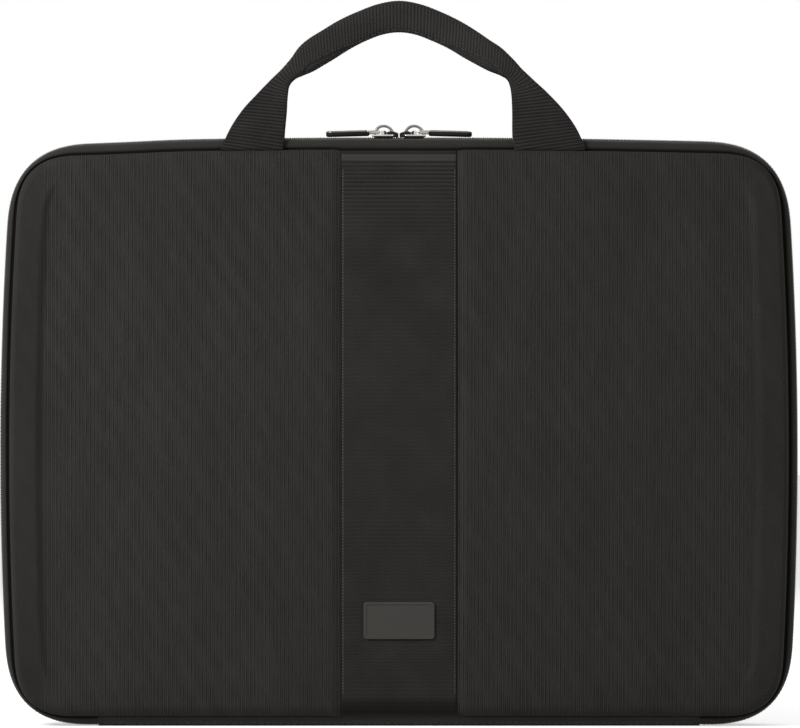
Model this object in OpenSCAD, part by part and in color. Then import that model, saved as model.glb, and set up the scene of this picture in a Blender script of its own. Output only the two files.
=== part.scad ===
// Moulded laptop case: two shells on a fabric band, closed by a two-way zip.
// Frame: X to the right, Y to the back, Z up, origin under the middle of the case,
// which stands on its hinge strip as in use, handles up. Millimetres.

/* [Case] */
// Overall width at the widest level
case_w = 430; // [380:5:480]
// Height of the closed case at its middle
case_h = 316.7; // [280:0.1:340]
// Thickness over the two panels
case_d = 54; // [53:0.5:64]
// Height of the widest level
wide_level = 148; // [130:1:165]
// Radius of the bowed sides
side_bow_r = 2100; // [1500:50:8000]
// Radius of the crowned top edge
top_bow_r = 7150; // [4000:50:20000]
// Length of each corner curve along its edges
corner_size = 48; // [44:1:56]
// Power of the corner curve, where 2 is a quarter circle
corner_power = 2.75; // [2.3:0.05:3]
// How much shorter the corner curve is at the seam than the band's thickness makes it
corner_tuck = 7; // [0:0.5:9]

/* [Shells] */
// Thickness of the laminated shell wall
shell_wall = 3; // [2:0.1:3.6]
// Rise of the side margins above the seam plane
margin_rise = 8.6; // [8.2:0.1:9.2]
// Rise of the panel's border above the seam plane
panel_rise = 7.4; // [7:0.1:7.9]
// Rounding of the shell's left and right edges
side_round = 4; // [3:0.5:6]
// Rounding of the shell's top edge
top_round = 6.5; // [5:0.5:8]
// Rounding of the shell's bottom edge
bottom_round = 9; // [6:0.5:11]
// Width of the flat margin left and right of the panel
margin_w = 10.2; // [7:0.2:14]
// Width of the step from the margin down to the panel
step_w = 5.3; // [4:0.1:8]
// Where a margin starts to run out into the top and bottom edges, in degrees round the corner
fade_from = 6; // [4:1:8]
// Degrees round the corner that the run-out takes
fade_over = 54; // [50:1:60]
// Size of the panel's corner curves
panel_corner = 20; // [14:1:26]
// Thickness of the padded lining
lining_t = 1.5; // [1:0.1:2]

/* [Centre stripe] */
// Width of the webbing
stripe_w = 61.5; // [40:0.5:80]
// Thickness of the webbing
stripe_t = 1.1; // [0.8:0.1:1.4]
// Depth of the channel that it lies in
channel_depth = 1.8; // [1.2:0.1:2.2]
// Width of the channel's rounded shoulders
shoulder_w = 6; // [4:0.5:9]

/* [Patch] */
// Width of the sewn patch
patch_w = 38; // [24:1:50]
// Height of the sewn patch
patch_h = 20; // [12:1:30]
// Thickness of the sewn patch
patch_t = 0.9; // [0.6:0.1:1.2]
// Height of the patch's middle above the ground
patch_level = 57; // [45:1:120]
// Width of the patch's raised rim
patch_rim = 1.6; // [1:0.1:2.5]

/* [Band and zip] */
// From the zip's middle plane to each seam
seam_y = 17; // [15.5:0.5:20]
// From the silhouette in to the seam at the sides
seam_side = 5; // [4:0.1:7]
// From the silhouette in to the seam at the top
seam_top = 7; // [6:0.1:9]
// From the silhouette in to the seam at the bottom
seam_bottom = 5.3; // [4.5:0.1:7]
// Thickness of the band's padded fabric
band_t = 1.85; // [1.2:0.05:2]
// From the zip's middle plane to the band's edge
band_gap = 4.4; // [4.2:0.1:6]
// Thickness of the zip tape
tape_t = 0.7; // [0.4:0.1:1]
// Width of each zip tape
tape_w = 10; // [7:0.5:11]
// Length of one tooth and the space to the next
tooth_pitch = 3; // [2.4:0.2:6]
// Depth of the tooth row from front to back
tooth_d = 2.5; // [2:0.1:2.5]
// Height of a tooth above its row's spine
tooth_h = 1.3; // [0.8:0.1:1.6]
// Space between the two rows
row_gap = 0.8; // [0.8:0.1:1.2]

/* [Hinge strip] */
// Thickness of the hinge fabric
strip_t = 2.2; // [1.6:0.1:3]
// Width of the flat that the case stands on
foot_w = 25; // [16:1:27]

/* [Handles] */
// Width of a handle's flat leg at the seam
leg_w = 35; // [28:1:40]
// From the middle of the case to the middle of a leg
leg_x = 78; // [70:1:92]
// Height of the handle above the seam
handle_rise = 80.6; // [66:0.2:100]
// Width of the folded grip
grip_w = 17; // [13:0.5:20]
// Thickness of the folded grip
grip_t = 8; // [6:0.5:10]
// Width of the neck where the fold starts
neck_w = 8.8; // [8:0.2:12]
// Thickness of the flat webbing
leg_t = 2; // [1.4:0.1:2.4]

/* [Sliders and pulls] */
// From the middle of the case to each slider's crown
crown_x = 8.2; // [7.8:0.2:14]
// Outer radius of the crown
crown_r = 5.8; // [5.6:0.1:6]
// Thickness of the crown's bow
crown_t = 1.6; // [1:0.1:1.7]
// Width of the crown
crown_w = 3; // [2:0.2:3.2]
// Length of the slider's top plate
plate_l = 12.4; // [11:0.2:15]
// Width of the slider's top plate
plate_w = 8.4; // [8:0.1:8.6]
// Thickness of the slider's top plate
plate_t = 1.15; // [0.8:0.05:1.3]
// Length of a pull from its pin
pull_l = 28.4; // [20:0.2:36]
// Width of a pull's tab
pull_w = 7; // [5.6:0.2:9]
// Thickness of a pull's tab
pull_t = 3; // [2:0.1:3.1]
// Radius of the pull's pin
pin_r = 0.6; // [0.5:0.05:0.7]
// Droop of a pull below level, in degrees
pull_droop = 1.5; // [0:0.5:2]

/* [Inside] */
// Width of the elastic corner straps
corner_strap_w = 25; // [15:1:35]
// Thickness of the elastic corner straps
corner_strap_t = 1.3; // [0.8:0.1:1.6]
// From the case's corner to each strap along the edges
corner_strap_reach = 84; // [76:1:110]
// Height of the slip pocket in the lid
pocket_h = 170; // [100:5:220]
// Thickness of the pocket's fabric
pocket_t = 1.2; // [0.8:0.1:1.6]
// Width of the pocket's hem
hem_w = 14; // [8:1:24]
// Width of the binding over the inner seam
binding_w = 2; // [1.4:0.1:3]

/* [Fit] */
// Clearance between pieces that move on each other
run_gap = 0.35; // [0.3:0.05:0.5]
// Clearance between soft pieces sewn together
sewn_gap = 0.2; // [0.1:0.05:0.3]

/* [Hidden] */

black_fabric = [0.19, 0.18, 0.175];
band_fabric = [0.2, 0.19, 0.18];
webbing = [0.16, 0.155, 0.155];
zip_black = [0.1, 0.1, 0.1];
rubber = [0.2, 0.195, 0.18];
lining_grey = [0.3, 0.3, 0.31];
nickel = [0.78, 0.76, 0.72];
gunmetal = [0.3, 0.3, 0.28];

round_fn = 40;
half_w = case_w / 2;
corner_steps = 10;
side_steps = 6;
// The band's section is drawn in these units, from 0 at the silhouette to 6 at the seam
seam_n = 6;
// How much a corner curve shrinks for each unit that its edges move in
corner_shrink = (sqrt(2) - 1) / ((1 - pow(2, -1 / corner_power)) * sqrt(2));
band_edge = 0.35;
tape_n = band_edge + band_t + sewn_gap;
tape_start = row_gap / 2 + 0.4;
tape_end = tape_start + tape_w;
floor_half = stripe_w / 2 + 0.6;
// Where the band ends and the hinge strip starts, clear of every corner curve
strip_end = half_w - max(corner_size, seam_side + side_round + margin_w + panel_corner + 7) - 1.5;
stations_right = [floor_half, floor_half + shoulder_w / 2, floor_half + shoulder_w, 75, 112, strip_end];
stations = concat([for (i = [len(stations_right) - 1:-1:0]) -stations_right[i]], stations_right);
columns = 2 * corner_steps + len(stations) + 2;
ring_n = 2 * side_steps + 2 * (columns - 1);
bottom_start = ring_n - corner_steps - 1;
bottom_end = 2 * side_steps + columns + corner_steps;
open_path = concat([for (i = [bottom_start:ring_n - 1]) i], [for (i = [0:bottom_end]) i]);

// Share of the channel's depth at a place across the front
function channel(x) =
    let (a = abs(x) - floor_half)
    a < 0.01 ? 1 : a < shoulder_w / 2 + 0.01 ? 0.3 : 0;

// A corner curve, from [0, 0] on the first edge's tangent point to [size, size]
function curve_lead(a, size) = size * (1 - pow(cos(a), 2 / corner_power));
function curve_rise(a, size) = size * pow(sin(a), 2 / corner_power);

// Bows the sides and crowns the top of a straight-sided outline
function bow(p) = [
    p[0] * (1 - pow(p[2] - wide_level, 2) / (2 * side_bow_r * half_w)),
    p[1],
    p[2] - pow(p[0], 2) / (2 * top_bow_r) * p[2] / case_h];

// Share of the way from a side's rises to the top's or bottom's, a degrees round a corner
function run_out(a) =
    let (t = min(max((a - fade_from) / fade_over, 0), 1))
    t * t * (3 - 2 * t);

// One closed ring of the case before bowing: insets and rises at side, top and bottom
// s = [side inset, side y, top inset, top y, bottom inset, bottom y, corner, channel in, channel y]
function raw_ring(s) =
    let (hw = half_w - s[0], zt = case_h - s[2], zb = s[4], c = s[6],
        turn = [for (i = [1:corner_steps - 1]) i * 90 / corner_steps],
        blend = [for (a = turn) run_out(a)])
    concat(
        [for (i = [0:side_steps]) [-hw, s[1], zb + c + (zt - zb - 2 * c) * i / side_steps]],
        [for (i = [0:len(turn) - 1])
            [-hw + curve_lead(turn[i], c), s[1] + (s[3] - s[1]) * blend[i],
                zt - c + curve_rise(turn[i], c)]],
        [[-hw + c, s[3], zt]],
        [for (x = stations) [x, s[3] - s[8] * channel(x), zt - s[7] * channel(x)]],
        [[hw - c, s[3], zt]],
        [for (i = [len(turn) - 1:-1:0])
            [hw - curve_lead(turn[i], c), s[1] + (s[3] - s[1]) * blend[i],
                zt - c + curve_rise(turn[i], c)]],
        [for (i = [side_steps:-1:0]) [hw, s[1], zb + c + (zt - zb - 2 * c) * i / side_steps]],
        [for (i = [0:len(turn) - 1])
            [hw - curve_lead(turn[i], c), s[1] + (s[5] - s[1]) * blend[i],
                zb + c - curve_rise(turn[i], c)]],
        [[hw - c, s[5], zb]],
        [for (i = [len(stations) - 1:-1:0])
            let (x = stations[i]) [x, s[5] - s[8] * channel(x), zb + s[7] * channel(x)]],
        [[-hw + c, s[5], zb]],
        [for (i = [len(turn) - 1:-1:0])
            [-hw + curve_lead(turn[i], c), s[1] + (s[5] - s[1]) * blend[i],
                zb + c - curve_rise(turn[i], c)]]);

// Size of the band's corner curves, which tighten more and more towards the seam
function band_corner(n) =
    corner_size - corner_shrink * n - corner_tuck * pow(min(max(n - 1, 0) / (seam_n - 1), 1), 3);

// A ring of the band, n units in from the silhouette, at depth y
function band_spec(n, y) =
    [seam_side * n / seam_n, y, seam_top * n / seam_n, y, seam_bottom * n / seam_n, y,
        band_corner(n), 0, 0];
function band_ring(n, y = 0) = [for (p = raw_ring(band_spec(n, y))) bow(p)];

// A ring of a shell: distances in from the seam and up from the seam plane
function shell_spec(side, top, bottom, corner, ch_in = 0, ch_y = 0) =
    [seam_side + side[0], seam_y + side[1], seam_top + top[0], seam_y + top[1],
        seam_bottom + bottom[0], seam_y + bottom[1], corner, ch_in, ch_y];

seam_corner = band_corner(seam_n);
function rounded(r, rise, a) = [r * (1 - cos(a)), rise * sin(a)];
// Rise of a margin from the rounded edge to the step
margin_slope = 0.2;

// Outer rings of a shell from its seam, over the rounded edge and the step, to the panel
function shell_rings(depth) = concat(
    [for (i = [0:3])
        let (a = 30 * i)
        shell_spec(rounded(side_round, margin_rise, a),
            rounded(top_round, panel_rise - 0.6, a),
            rounded(bottom_round, panel_rise - 0.8, a),
            seam_corner - (seam_corner - panel_corner) * 0.12 * i,
            i == 0 ? 0 : depth * cos(a), i == 0 ? 0 : depth * sin(a))],
    [shell_spec([side_round + margin_w, margin_rise + margin_slope],
        [top_round + 2, panel_rise - 0.3], [bottom_round + 2, panel_rise - 0.45],
        panel_corner + 7, 0, depth)],
    [shell_spec([side_round + margin_w + step_w * 0.5, (margin_rise + margin_slope + panel_rise) / 2],
        [top_round + 4, panel_rise - 0.1], [bottom_round + 4, panel_rise - 0.15],
        panel_corner + 3, 0, depth)],
    [shell_spec([side_round + margin_w + step_w, panel_rise],
        [top_round + 6, panel_rise], [bottom_round + 6, panel_rise],
        panel_corner, 0, depth)]);

// Rings of the surface d inside a shell's inner face, from the flat floor to the rim
function tray_rings(d) =
    let (f = shell_wall + d, shift = 0.3 * f)
    [shell_spec([side_round + margin_w + step_w - shift, panel_rise - f],
            [top_round + 6 + f, panel_rise - f], [bottom_round + 6 + f, panel_rise - f],
            panel_corner - 2),
        shell_spec([side_round + margin_w - shift, margin_rise + margin_slope - f],
            [top_round + f, panel_rise - f - 0.5], [bottom_round + f, panel_rise - f - 0.6],
            panel_corner + 6),
        shell_spec([side_round / 2 + f, margin_rise - f],
            [top_round / 2 + f - 1, panel_rise - f - 1.6],
            [bottom_round / 2 + f - 1, panel_rise - f - 1.8],
            seam_corner - 10),
        shell_spec([f, 0], [f, 0], [f, 0], seam_corner - f * corner_shrink)];

function flip(list) = [for (i = [len(list) - 1:-1:0]) list[i]];
function quad(a, b, c, d) = [[a, b, c], [a, c, d]];

// Side faces between rings of m points each, closed around
function side_faces(rings, m) =
    [for (k = [0:rings - 2]) for (i = [0:m - 1])
        let (j = (i + 1) % m)
        each quad(k * m + i, (k + 1) * m + i, (k + 1) * m + j, k * m + j)];

// Index of a panel grid point, on the last ring or inside it
function grid(c, r, last, inner) =
    r == 0 ? last + side_steps + c :
    r == side_steps ? last + (2 * side_steps + 2 * (columns - 1) - c) % ring_n :
    c == 0 ? last + side_steps - r :
    c == columns - 1 ? last + side_steps + columns - 1 + r :
    inner + (r - 1) * (columns - 2) + c - 1;

// Crown of a panel over its border
dome = case_d / 2 - seam_y - panel_rise;
function panel_point(a, b, t) =
    let (x = a[0] + (b[0] - a[0]) * t,
        across = 1 - pow(x / (half_w - seam_side - side_round - margin_w - step_w), 2),
        along = 1 - pow(2 * t - 1, 2))
    [x, a[1] + (b[1] - a[1]) * t + dome * across * along, a[2] + (b[2] - a[2]) * t];

// A moulded shell as a loft, with its seam on seam_y and its panel towards +Y
module shell(depth) {
    rings = concat([for (s = tray_rings(0)) raw_ring(s)], [for (s = shell_rings(depth)) raw_ring(s)]);
    top = rings[len(rings) - 1];
    inside = [for (r = [1:side_steps - 1]) for (c = [1:columns - 2])
        panel_point(top[side_steps + c], top[(2 * side_steps + 2 * (columns - 1) - c) % ring_n],
            r / side_steps)];
    last = (len(rings) - 1) * ring_n;
    inner = len(rings) * ring_n;
    polyhedron(
        points = [for (p = concat([for (r = rings) each r], inside)) bow(p)],
        faces = concat(
            [[for (i = [0:ring_n - 1]) i]],
            side_faces(len(rings), ring_n),
            [for (c = [0:columns - 2]) for (r = [0:side_steps - 1])
                each quad(grid(c, r, last, inner), grid(c, r + 1, last, inner),
                    grid(c + 1, r + 1, last, inner), grid(c + 1, r, last, inner))]));
}

// The padded lining, a thin tray inside the shell
module lining() {
    inner = [for (s = tray_rings(sewn_gap + lining_t)) raw_ring(s)];
    outer = flip([for (s = tray_rings(sewn_gap)) raw_ring(s)]);
    rings = concat(inner, outer);
    polyhedron(
        points = [for (r = rings) for (p = r) bow(p)],
        faces = concat(
            [[for (i = [0:ring_n - 1]) i]],
            side_faces(len(rings), ring_n),
            [[for (i = [ring_n - 1:-1:0]) (len(rings) - 1) * ring_n + i]]));
}

// Section of the padded band: [units in from the silhouette, y]
band_section = [[seam_n + 3, seam_y - sewn_gap], [seam_n - 0.4, seam_y - sewn_gap],
    [3.6, seam_y - 0.6], [1.9, seam_y - 1.8], [0.8, seam_y - 4], [band_edge, seam_y - 7],
    [band_edge, band_gap + 2.8], [0.9, band_gap], [band_edge + band_t, band_gap],
    [band_edge + band_t, tape_end + run_gap], [band_edge + band_t + 0.6, seam_y - 4.8],
    [4.6, seam_y - 2.7], [seam_n + 3, seam_y - 1.7]];

// The band as a sweep round the silhouette, open along the hinge strip
module gusset() {
    m = len(band_section);
    rings = [for (s = band_section) band_ring(s[0], s[1])];
    count = len(open_path);
    polyhedron(
        points = [for (i = open_path) for (k = [0:m - 1]) rings[k][i]],
        faces = concat(
            [[for (k = [0:m - 1]) k]],
            side_faces(count, m),
            [[for (k = [m - 1:-1:0]) (count - 1) * m + k]]));
}

function flat(p) = [p[0], p[2]];
function open_line(n) = let (r = band_ring(n)) [for (i = open_path) flat(r[i])];

// Extrudes an outline drawn in X and Z along +Y from y0 to y1
module slab(y0, y1) {
    translate([0, y1, 0])
    rotate([90, 0, 0])
    linear_extrude(y1 - y0)
    children();
}

module zipper_tape() {
    slab(tape_start, tape_end)
    polygon(concat(open_line(tape_n), flip(open_line(tape_n + tape_t))));
}

// Running length along a line of points
function run_length(line, i = 0, sum = 0) =
    i == len(line) ? [] :
    let (s = i == 0 ? 0 : sum + norm(line[i] - line[i - 1]))
    concat([s], run_length(line, i + 1, s));
function along(s, lengths, line) =
    [for (k = [0:1]) lookup(s, [for (i = [0:len(line) - 1]) [lengths[i], line[i][k]]])];

// One row of teeth on its spine, shifted along the zip by a share of the pitch
module zipper_teeth(shift) {
    spine = open_line(tooth_h);
    tips = open_line(0);
    lengths = run_length(spine);
    count = floor(lengths[len(lengths) - 1] / tooth_pitch) - 1;
    slab(row_gap / 2, row_gap / 2 + tooth_d)
    polygon(concat(
        [spine[0]],
        [for (i = [0:count - 1])
            let (s = (i + 0.5 + shift) * tooth_pitch)
            each [along(s - 0.34 * tooth_pitch, lengths, spine),
                along(s - 0.2 * tooth_pitch, lengths, tips),
                along(s + 0.2 * tooth_pitch, lengths, tips),
                along(s + 0.34 * tooth_pitch, lengths, spine)]],
        [spine[len(spine) - 1]],
        flip(open_line(tape_n - 0.1))));
}

// Binding sewn over the raw edges of shell and band, all round inside the seam
module seam_binding() {
    inset = seam_n + 3 + sewn_gap * 2;
    depth = binding_w * seam_n / seam_side;
    slab(seam_y - 2, seam_y - sewn_gap)
    difference() {
        polygon([for (p = band_ring(inset)) flat(p)]);
        polygon([for (p = band_ring(inset + depth)) flat(p)]);
    }
}

// Fabric hinge along the bottom, flat where the case stands, up to both seams at its edges
module hinge_strip() {
    length = 2 * bow([strip_end, 0, 0])[0] - 2 * run_gap;
    edge = seam_y - run_gap;
    outside = [[edge, seam_bottom - 0.3], [edge - 0.7, seam_bottom * 0.4],
        [foot_w / 2 + 1.5, 0.5], [foot_w / 2, 0]];
    inside = [[foot_w / 2 - 0.3, strip_t], [edge - 2.4, strip_t + 1.2],
        [edge - 1.8, seam_bottom - 0.3]];
    right = concat(inside, outside);
    translate([-length / 2, 0, 0])
    rotate([90, 0, 90])
    linear_extrude(length)
    polygon(concat(right, [for (p = flip(right)) [-p[0], p[1]]]));
}

// Line of the channel's floor at the middle of the front: [y, z] from top to bottom
function floor_line() =
    let (rings = [for (s = shell_rings(channel_depth)) raw_ring(s)],
        c = corner_steps + 1 + len(stations_right),
        top = side_steps + c,
        bottom = 2 * side_steps + 2 * (columns - 1) - c,
        panel = rings[len(rings) - 1],
        points = concat([for (r = rings) r[top]],
            [for (r = [1:side_steps - 1]) panel_point(panel[top], panel[bottom], r / side_steps)],
            [for (r = flip(rings)) r[bottom]]))
    [for (p = points) [p[1], p[2] - pow(p[0], 2) / (2 * top_bow_r) * p[2] / case_h]];

// A line moved square to itself by d, away from the case
function moved(line, d) =
    [for (i = [0:len(line) - 1])
        let (a = line[max(i - 1, 0)], b = line[min(i + 1, len(line) - 1)], t = (b - a) / norm(b - a))
        line[i] + d * [-t[1], t[0]]];

module center_stripe() {
    line = floor_line();
    low = moved(line, sewn_gap / 2);
    high = moved(line, sewn_gap / 2 + stripe_t);
    translate([-stripe_w / 2, 0, 0])
    rotate([90, 0, 90])
    linear_extrude(stripe_w)
    polygon(concat(low, flip(high)));
}

// Surface of the stripe at a height: [y, slope]
function stripe_face(z) =
    let (high = moved(floor_line(), sewn_gap / 2 + stripe_t),
        table = [for (i = [len(high) - 1:-1:0]) [high[i][1], high[i][0]]],
        y0 = lookup(z - patch_h / 2, table), y1 = lookup(z + patch_h / 2, table))
    [(y0 + y1) / 2, (y1 - y0) / patch_h];

module rounded_plate(w, h, r, t) {
    linear_extrude(t)
    union() {
        square([w - 2 * r, h], center = true);
        square([w, h - 2 * r], center = true);
        for (x = [-1, 1], y = [-1, 1])
            translate([x * (w / 2 - r), y * (h / 2 - r)])
            circle(r, $fn = round_fn);
    }
}

// Bare rubber patch with a raised rim
module patch() {
    face = stripe_face(patch_level);
    rim_h = 0.3;
    corner = 2;
    translate([0, face[0] + sewn_gap / 2, patch_level])
    rotate([-90 - atan(face[1]), 0, 0])
    difference() {
        rounded_plate(patch_w, patch_h, corner, patch_t);
        translate([0, 0, patch_t - rim_h])
        rounded_plate(patch_w - 2 * patch_rim, patch_h - 2 * patch_rim, corner - 0.8, patch_t);
    }
}

// Handle: [x as a share of leg_x, height as a share of the rise, width, thickness, turn]
leg_base = case_h - seam_top + 1.2;
grip_middle = handle_rise - 1.2 - grip_w / 2;
handle_stations = [
    [1, 0, leg_w, leg_t, 0],
    [0.975, 0.14, leg_w * 0.88, leg_t, 2],
    [0.93, 0.28, leg_w * 0.68, leg_t * 1.05, 3],
    [0.882, 0.405, leg_w * 0.46, leg_t * 1.2, 5],
    [0.836, 0.495, neck_w * 1.2, leg_t * 1.6, 12],
    [0.782, 0.563, neck_w, grip_t * 0.6, 30],
    [0.716, 0.622, (neck_w + grip_w) * 0.42, grip_t * 0.8, 50],
    [0.648, 0.683, grip_w * 0.87, grip_t * 0.95, 59],
    [0.58, 0.738, grip_w * 0.95, grip_t, 61],
    [0.488, 0.8, grip_w * 0.97, grip_t, 66],
    [0.38, 0.868, grip_w, grip_t, 69],
    [0.26, 0.933, grip_w, grip_t, 75],
    [0.13, 0.983, grip_w, grip_t, 83],
    [0, 1, grip_w, grip_t, 90]];
handle_section = [[-1, -0.4], [-0.82, -1], [0.82, -1], [1, -0.4], [1, 0.4], [0.82, 1],
    [-0.82, 1], [-1, 0.4]];

// A smooth curve through a list of stations, k from 0 to the last index
function smooth(list, k) =
    let (i = min(floor(k), len(list) - 2), t = k - i,
        a = list[max(i - 1, 0)], b = list[i], c = list[i + 1], d = list[min(i + 2, len(list) - 1)])
    0.5 * (2 * b + (c - a) * t + (2 * a - 5 * b + 4 * c - d) * pow(t, 2)
        + (3 * b - a - 3 * c + d) * pow(t, 3));

leg_y = seam_y + 1.4;
grip_y = grip_t / 2 + 0.5;

// Section of the handle's right half at a station
function handle_ring(s, side) =
    [for (q = handle_section)
        let (x = s[0] * leg_x + q[0] * s[2] / 2 * cos(s[4]),
            z = s[1] * grip_middle + q[0] * s[2] / 2 * sin(s[4]),
            y = leg_y - (leg_y - grip_y) * s[1] + q[1] * s[3] / 2)
        [side * x, y, leg_base + z]];

module handle() {
    per_step = 2;
    count = (len(handle_stations) - 1) * per_step;
    right = [for (i = [0:count]) handle_ring(smooth(handle_stations, i / per_step), 1)];
    left = [for (i = [count - 1:-1:0]) handle_ring(smooth(handle_stations, i / per_step), -1)];
    rings = concat(right, left);
    m = len(handle_section);
    polyhedron(
        points = [for (r = rings) each r],
        faces = concat(
            [[for (i = [0:m - 1]) i]],
            side_faces(len(rings), m),
            [[for (i = [m - 1:-1:0]) (len(rings) - 1) * m + i]]));
}

// Slider on the top edge at its crown's middle, its pull towards +X
plate_z = case_h + run_gap;
crown_z = plate_z + plate_t - 0.2;
pin_x = 2.8;
pin_z = crown_z + 1.6;
module slider() {
    lip_t = 0.8;
    lip_y = row_gap / 2 + tooth_d + run_gap;
    lip_h = 2.2;
    lock = [2.8, crown_w - 0.2, 2.4];
    translate([-plate_l / 2, -plate_w / 2, plate_z])
    cube([plate_l, plate_w, plate_t]);
    translate([-plate_l / 2, lip_y, plate_z - lip_h])
    cube([plate_l, lip_t, lip_h + plate_t / 2]);
    translate([-lock[0] / 2, -lock[1] / 2, crown_z])
    cube(lock);
    translate([0, crown_w / 2, crown_z])
    rotate([90, 0, 0])
    rotate_extrude(angle = 180, $fn = round_fn)
    translate([crown_r - crown_t, 0])
    square([crown_t, crown_w]);
}

// Pull on its pin, lying towards +X, its tab's upper face above the pin; the eye clears the crown
module pull() {
    cheek_t = 1.1;
    cheek_y = crown_w / 2 + run_gap;
    cheek_r = 1;
    eye_l = 5.4;
    face = 1.3;
    neck = 2 * (cheek_y + cheek_t);
    rotate([0, pull_droop, 0])
    union() {
        translate([0, cheek_y + cheek_t, 0])
        rotate([90, 0, 0])
        cylinder(h = neck, r = pin_r, $fn = round_fn);
        for (side = [-1, 1])
            translate([0, side > 0 ? cheek_y : -cheek_y - cheek_t, 0]) {
                translate([0, cheek_t, 0])
                rotate([90, 0, 0])
                cylinder(h = cheek_t, r = cheek_r, $fn = round_fn);
                translate([0, 0, -cheek_r])
                cube([eye_l + 0.6, cheek_t, 2 * cheek_r]);
            }
        difference() {
            translate([eye_l, 0, face - pull_t])
            linear_extrude(pull_t)
            union() {
                polygon([[0, -neck / 2], [3, -pull_w / 2], [pull_l - eye_l - pull_w / 2, -pull_w / 2],
                    [pull_l - eye_l - pull_w / 2, pull_w / 2], [3, pull_w / 2], [0, neck / 2]]);
                translate([pull_l - eye_l - pull_w / 2, 0])
                circle(pull_w / 2, $fn = round_fn);
            }
            translate([pull_l - pull_w * 0.85, 0, -pull_t])
            cylinder(h = 2 * pull_t, r = pull_w * 0.18, $fn = round_fn);
        }
    }
}

// One elastic strap across an inside corner, its ends cut along the seam
module corner_strap(x, z) {
    top_y = seam_y - 2 - sewn_gap;
    slab(top_y - corner_strap_t, top_y)
    intersection() {
        polygon([for (p = band_ring(seam_n + 3.6)) flat(p)]);
        translate([x * half_w, z > 0 ? case_h : 0])
        rotate(z > 0 ? -45 * x : -135 * x)
        translate([-corner_strap_reach, -corner_strap_reach * sqrt(0.5) - corner_strap_w / 2])
        square([2 * corner_strap_reach, corner_strap_w]);
    }
}

pocket_y = seam_y + panel_rise - shell_wall - lining_t - sewn_gap * 2;
pocket_inset = side_round + margin_w + step_w + seam_side + shell_wall + lining_t + 10;
pocket_half = half_w - pocket_inset;
pocket_foot = seam_bottom + bottom_round + 6 + shell_wall + lining_t + 3;

module slip_pocket() {
    translate([-pocket_half, pocket_y - pocket_t, pocket_foot])
    cube([2 * pocket_half, pocket_t, pocket_h]);
}

// Folded hem along the pocket's mouth
module pocket_hem() {
    hem_t = 0.8;
    translate([-pocket_half, pocket_y - pocket_t - sewn_gap - hem_t, pocket_foot + pocket_h - hem_w])
    cube([2 * pocket_half, hem_t, hem_w]);
}

module front() {
    mirror([0, 1, 0])
    children();
}

module left() {
    mirror([1, 0, 0])
    children();
}

module rear_shell() { color(black_fabric) shell(0); }
module rear_lining() { color(lining_grey) lining(); }
module rear_gusset() { color(band_fabric) gusset(); }
module rear_zipper_tape() { color(zip_black) zipper_tape(); }
module rear_zipper_teeth() { color(zip_black) zipper_teeth(0.5); }
module rear_seam_binding() { color(webbing) seam_binding(); }
module strip() { color(band_fabric) hinge_strip(); }
module corner_strap_top_left() { color(webbing) corner_strap(-1, 1); }
module corner_strap_top_right() { color(webbing) corner_strap(1, 1); }
module corner_strap_bottom_left() { color(webbing) corner_strap(-1, -1); }
module corner_strap_bottom_right() { color(webbing) corner_strap(1, -1); }
module rear_handle() { color(webbing) handle(); }
module front_shell() { color(black_fabric) front() shell(channel_depth); }
module front_lining() { color(lining_grey) front() lining(); }
module front_gusset() { color(band_fabric) front() gusset(); }
module front_zipper_tape() { color(zip_black) front() zipper_tape(); }
module front_zipper_teeth() { color(zip_black) front() zipper_teeth(0); }
module front_seam_binding() { color(webbing) front() seam_binding(); }
module stripe() { color(webbing) front() center_stripe(); }
module label_patch() { color(rubber) front() patch(); }
module pocket() { color(lining_grey) front() slip_pocket(); }
module hem() { color(webbing) front() pocket_hem(); }
module front_handle() { color(webbing) front() handle(); }
module right_slider() { color(nickel) translate([crown_x, 0, 0]) slider(); }
module left_slider() { color(nickel) left() translate([crown_x, 0, 0]) slider(); }
module right_pull() { color(gunmetal) translate([crown_x + pin_x, 0, pin_z]) pull(); }
module left_pull() { color(gunmetal) left() translate([crown_x + pin_x, 0, pin_z]) pull(); }

rear_shell();
rear_lining();
rear_gusset();
rear_zipper_tape();
rear_zipper_teeth();
rear_seam_binding();
strip();  // hinge_strip
corner_strap_top_left();
corner_strap_top_right();
corner_strap_bottom_left();
corner_strap_bottom_right();
rear_handle();
front_shell();
front_lining();
front_gusset();
front_zipper_tape();
front_zipper_teeth();
front_seam_binding();
stripe();  // center_stripe
label_patch();
pocket();  // slip_pocket
hem();  // pocket_hem
front_handle();
left_slider();
right_slider();
left_pull();
right_pull();
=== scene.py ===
import math
from functools import partialmethod

import bmesh
import bpy
import numpy as np
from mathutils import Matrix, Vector


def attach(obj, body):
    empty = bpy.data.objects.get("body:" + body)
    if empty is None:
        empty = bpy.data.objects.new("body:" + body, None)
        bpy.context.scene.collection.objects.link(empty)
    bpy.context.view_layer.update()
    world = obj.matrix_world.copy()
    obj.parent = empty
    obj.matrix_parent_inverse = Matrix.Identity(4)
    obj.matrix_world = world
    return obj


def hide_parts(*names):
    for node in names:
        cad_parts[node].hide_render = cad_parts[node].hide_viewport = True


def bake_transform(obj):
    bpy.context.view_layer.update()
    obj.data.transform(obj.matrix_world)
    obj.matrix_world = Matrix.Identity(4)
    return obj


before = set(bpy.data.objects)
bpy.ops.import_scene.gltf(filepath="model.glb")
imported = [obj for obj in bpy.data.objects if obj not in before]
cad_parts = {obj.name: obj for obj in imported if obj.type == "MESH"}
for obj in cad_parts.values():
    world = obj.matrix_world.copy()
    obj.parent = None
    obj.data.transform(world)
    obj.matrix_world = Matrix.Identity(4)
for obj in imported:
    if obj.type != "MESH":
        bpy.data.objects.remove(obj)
scene = bpy.context.scene
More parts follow.
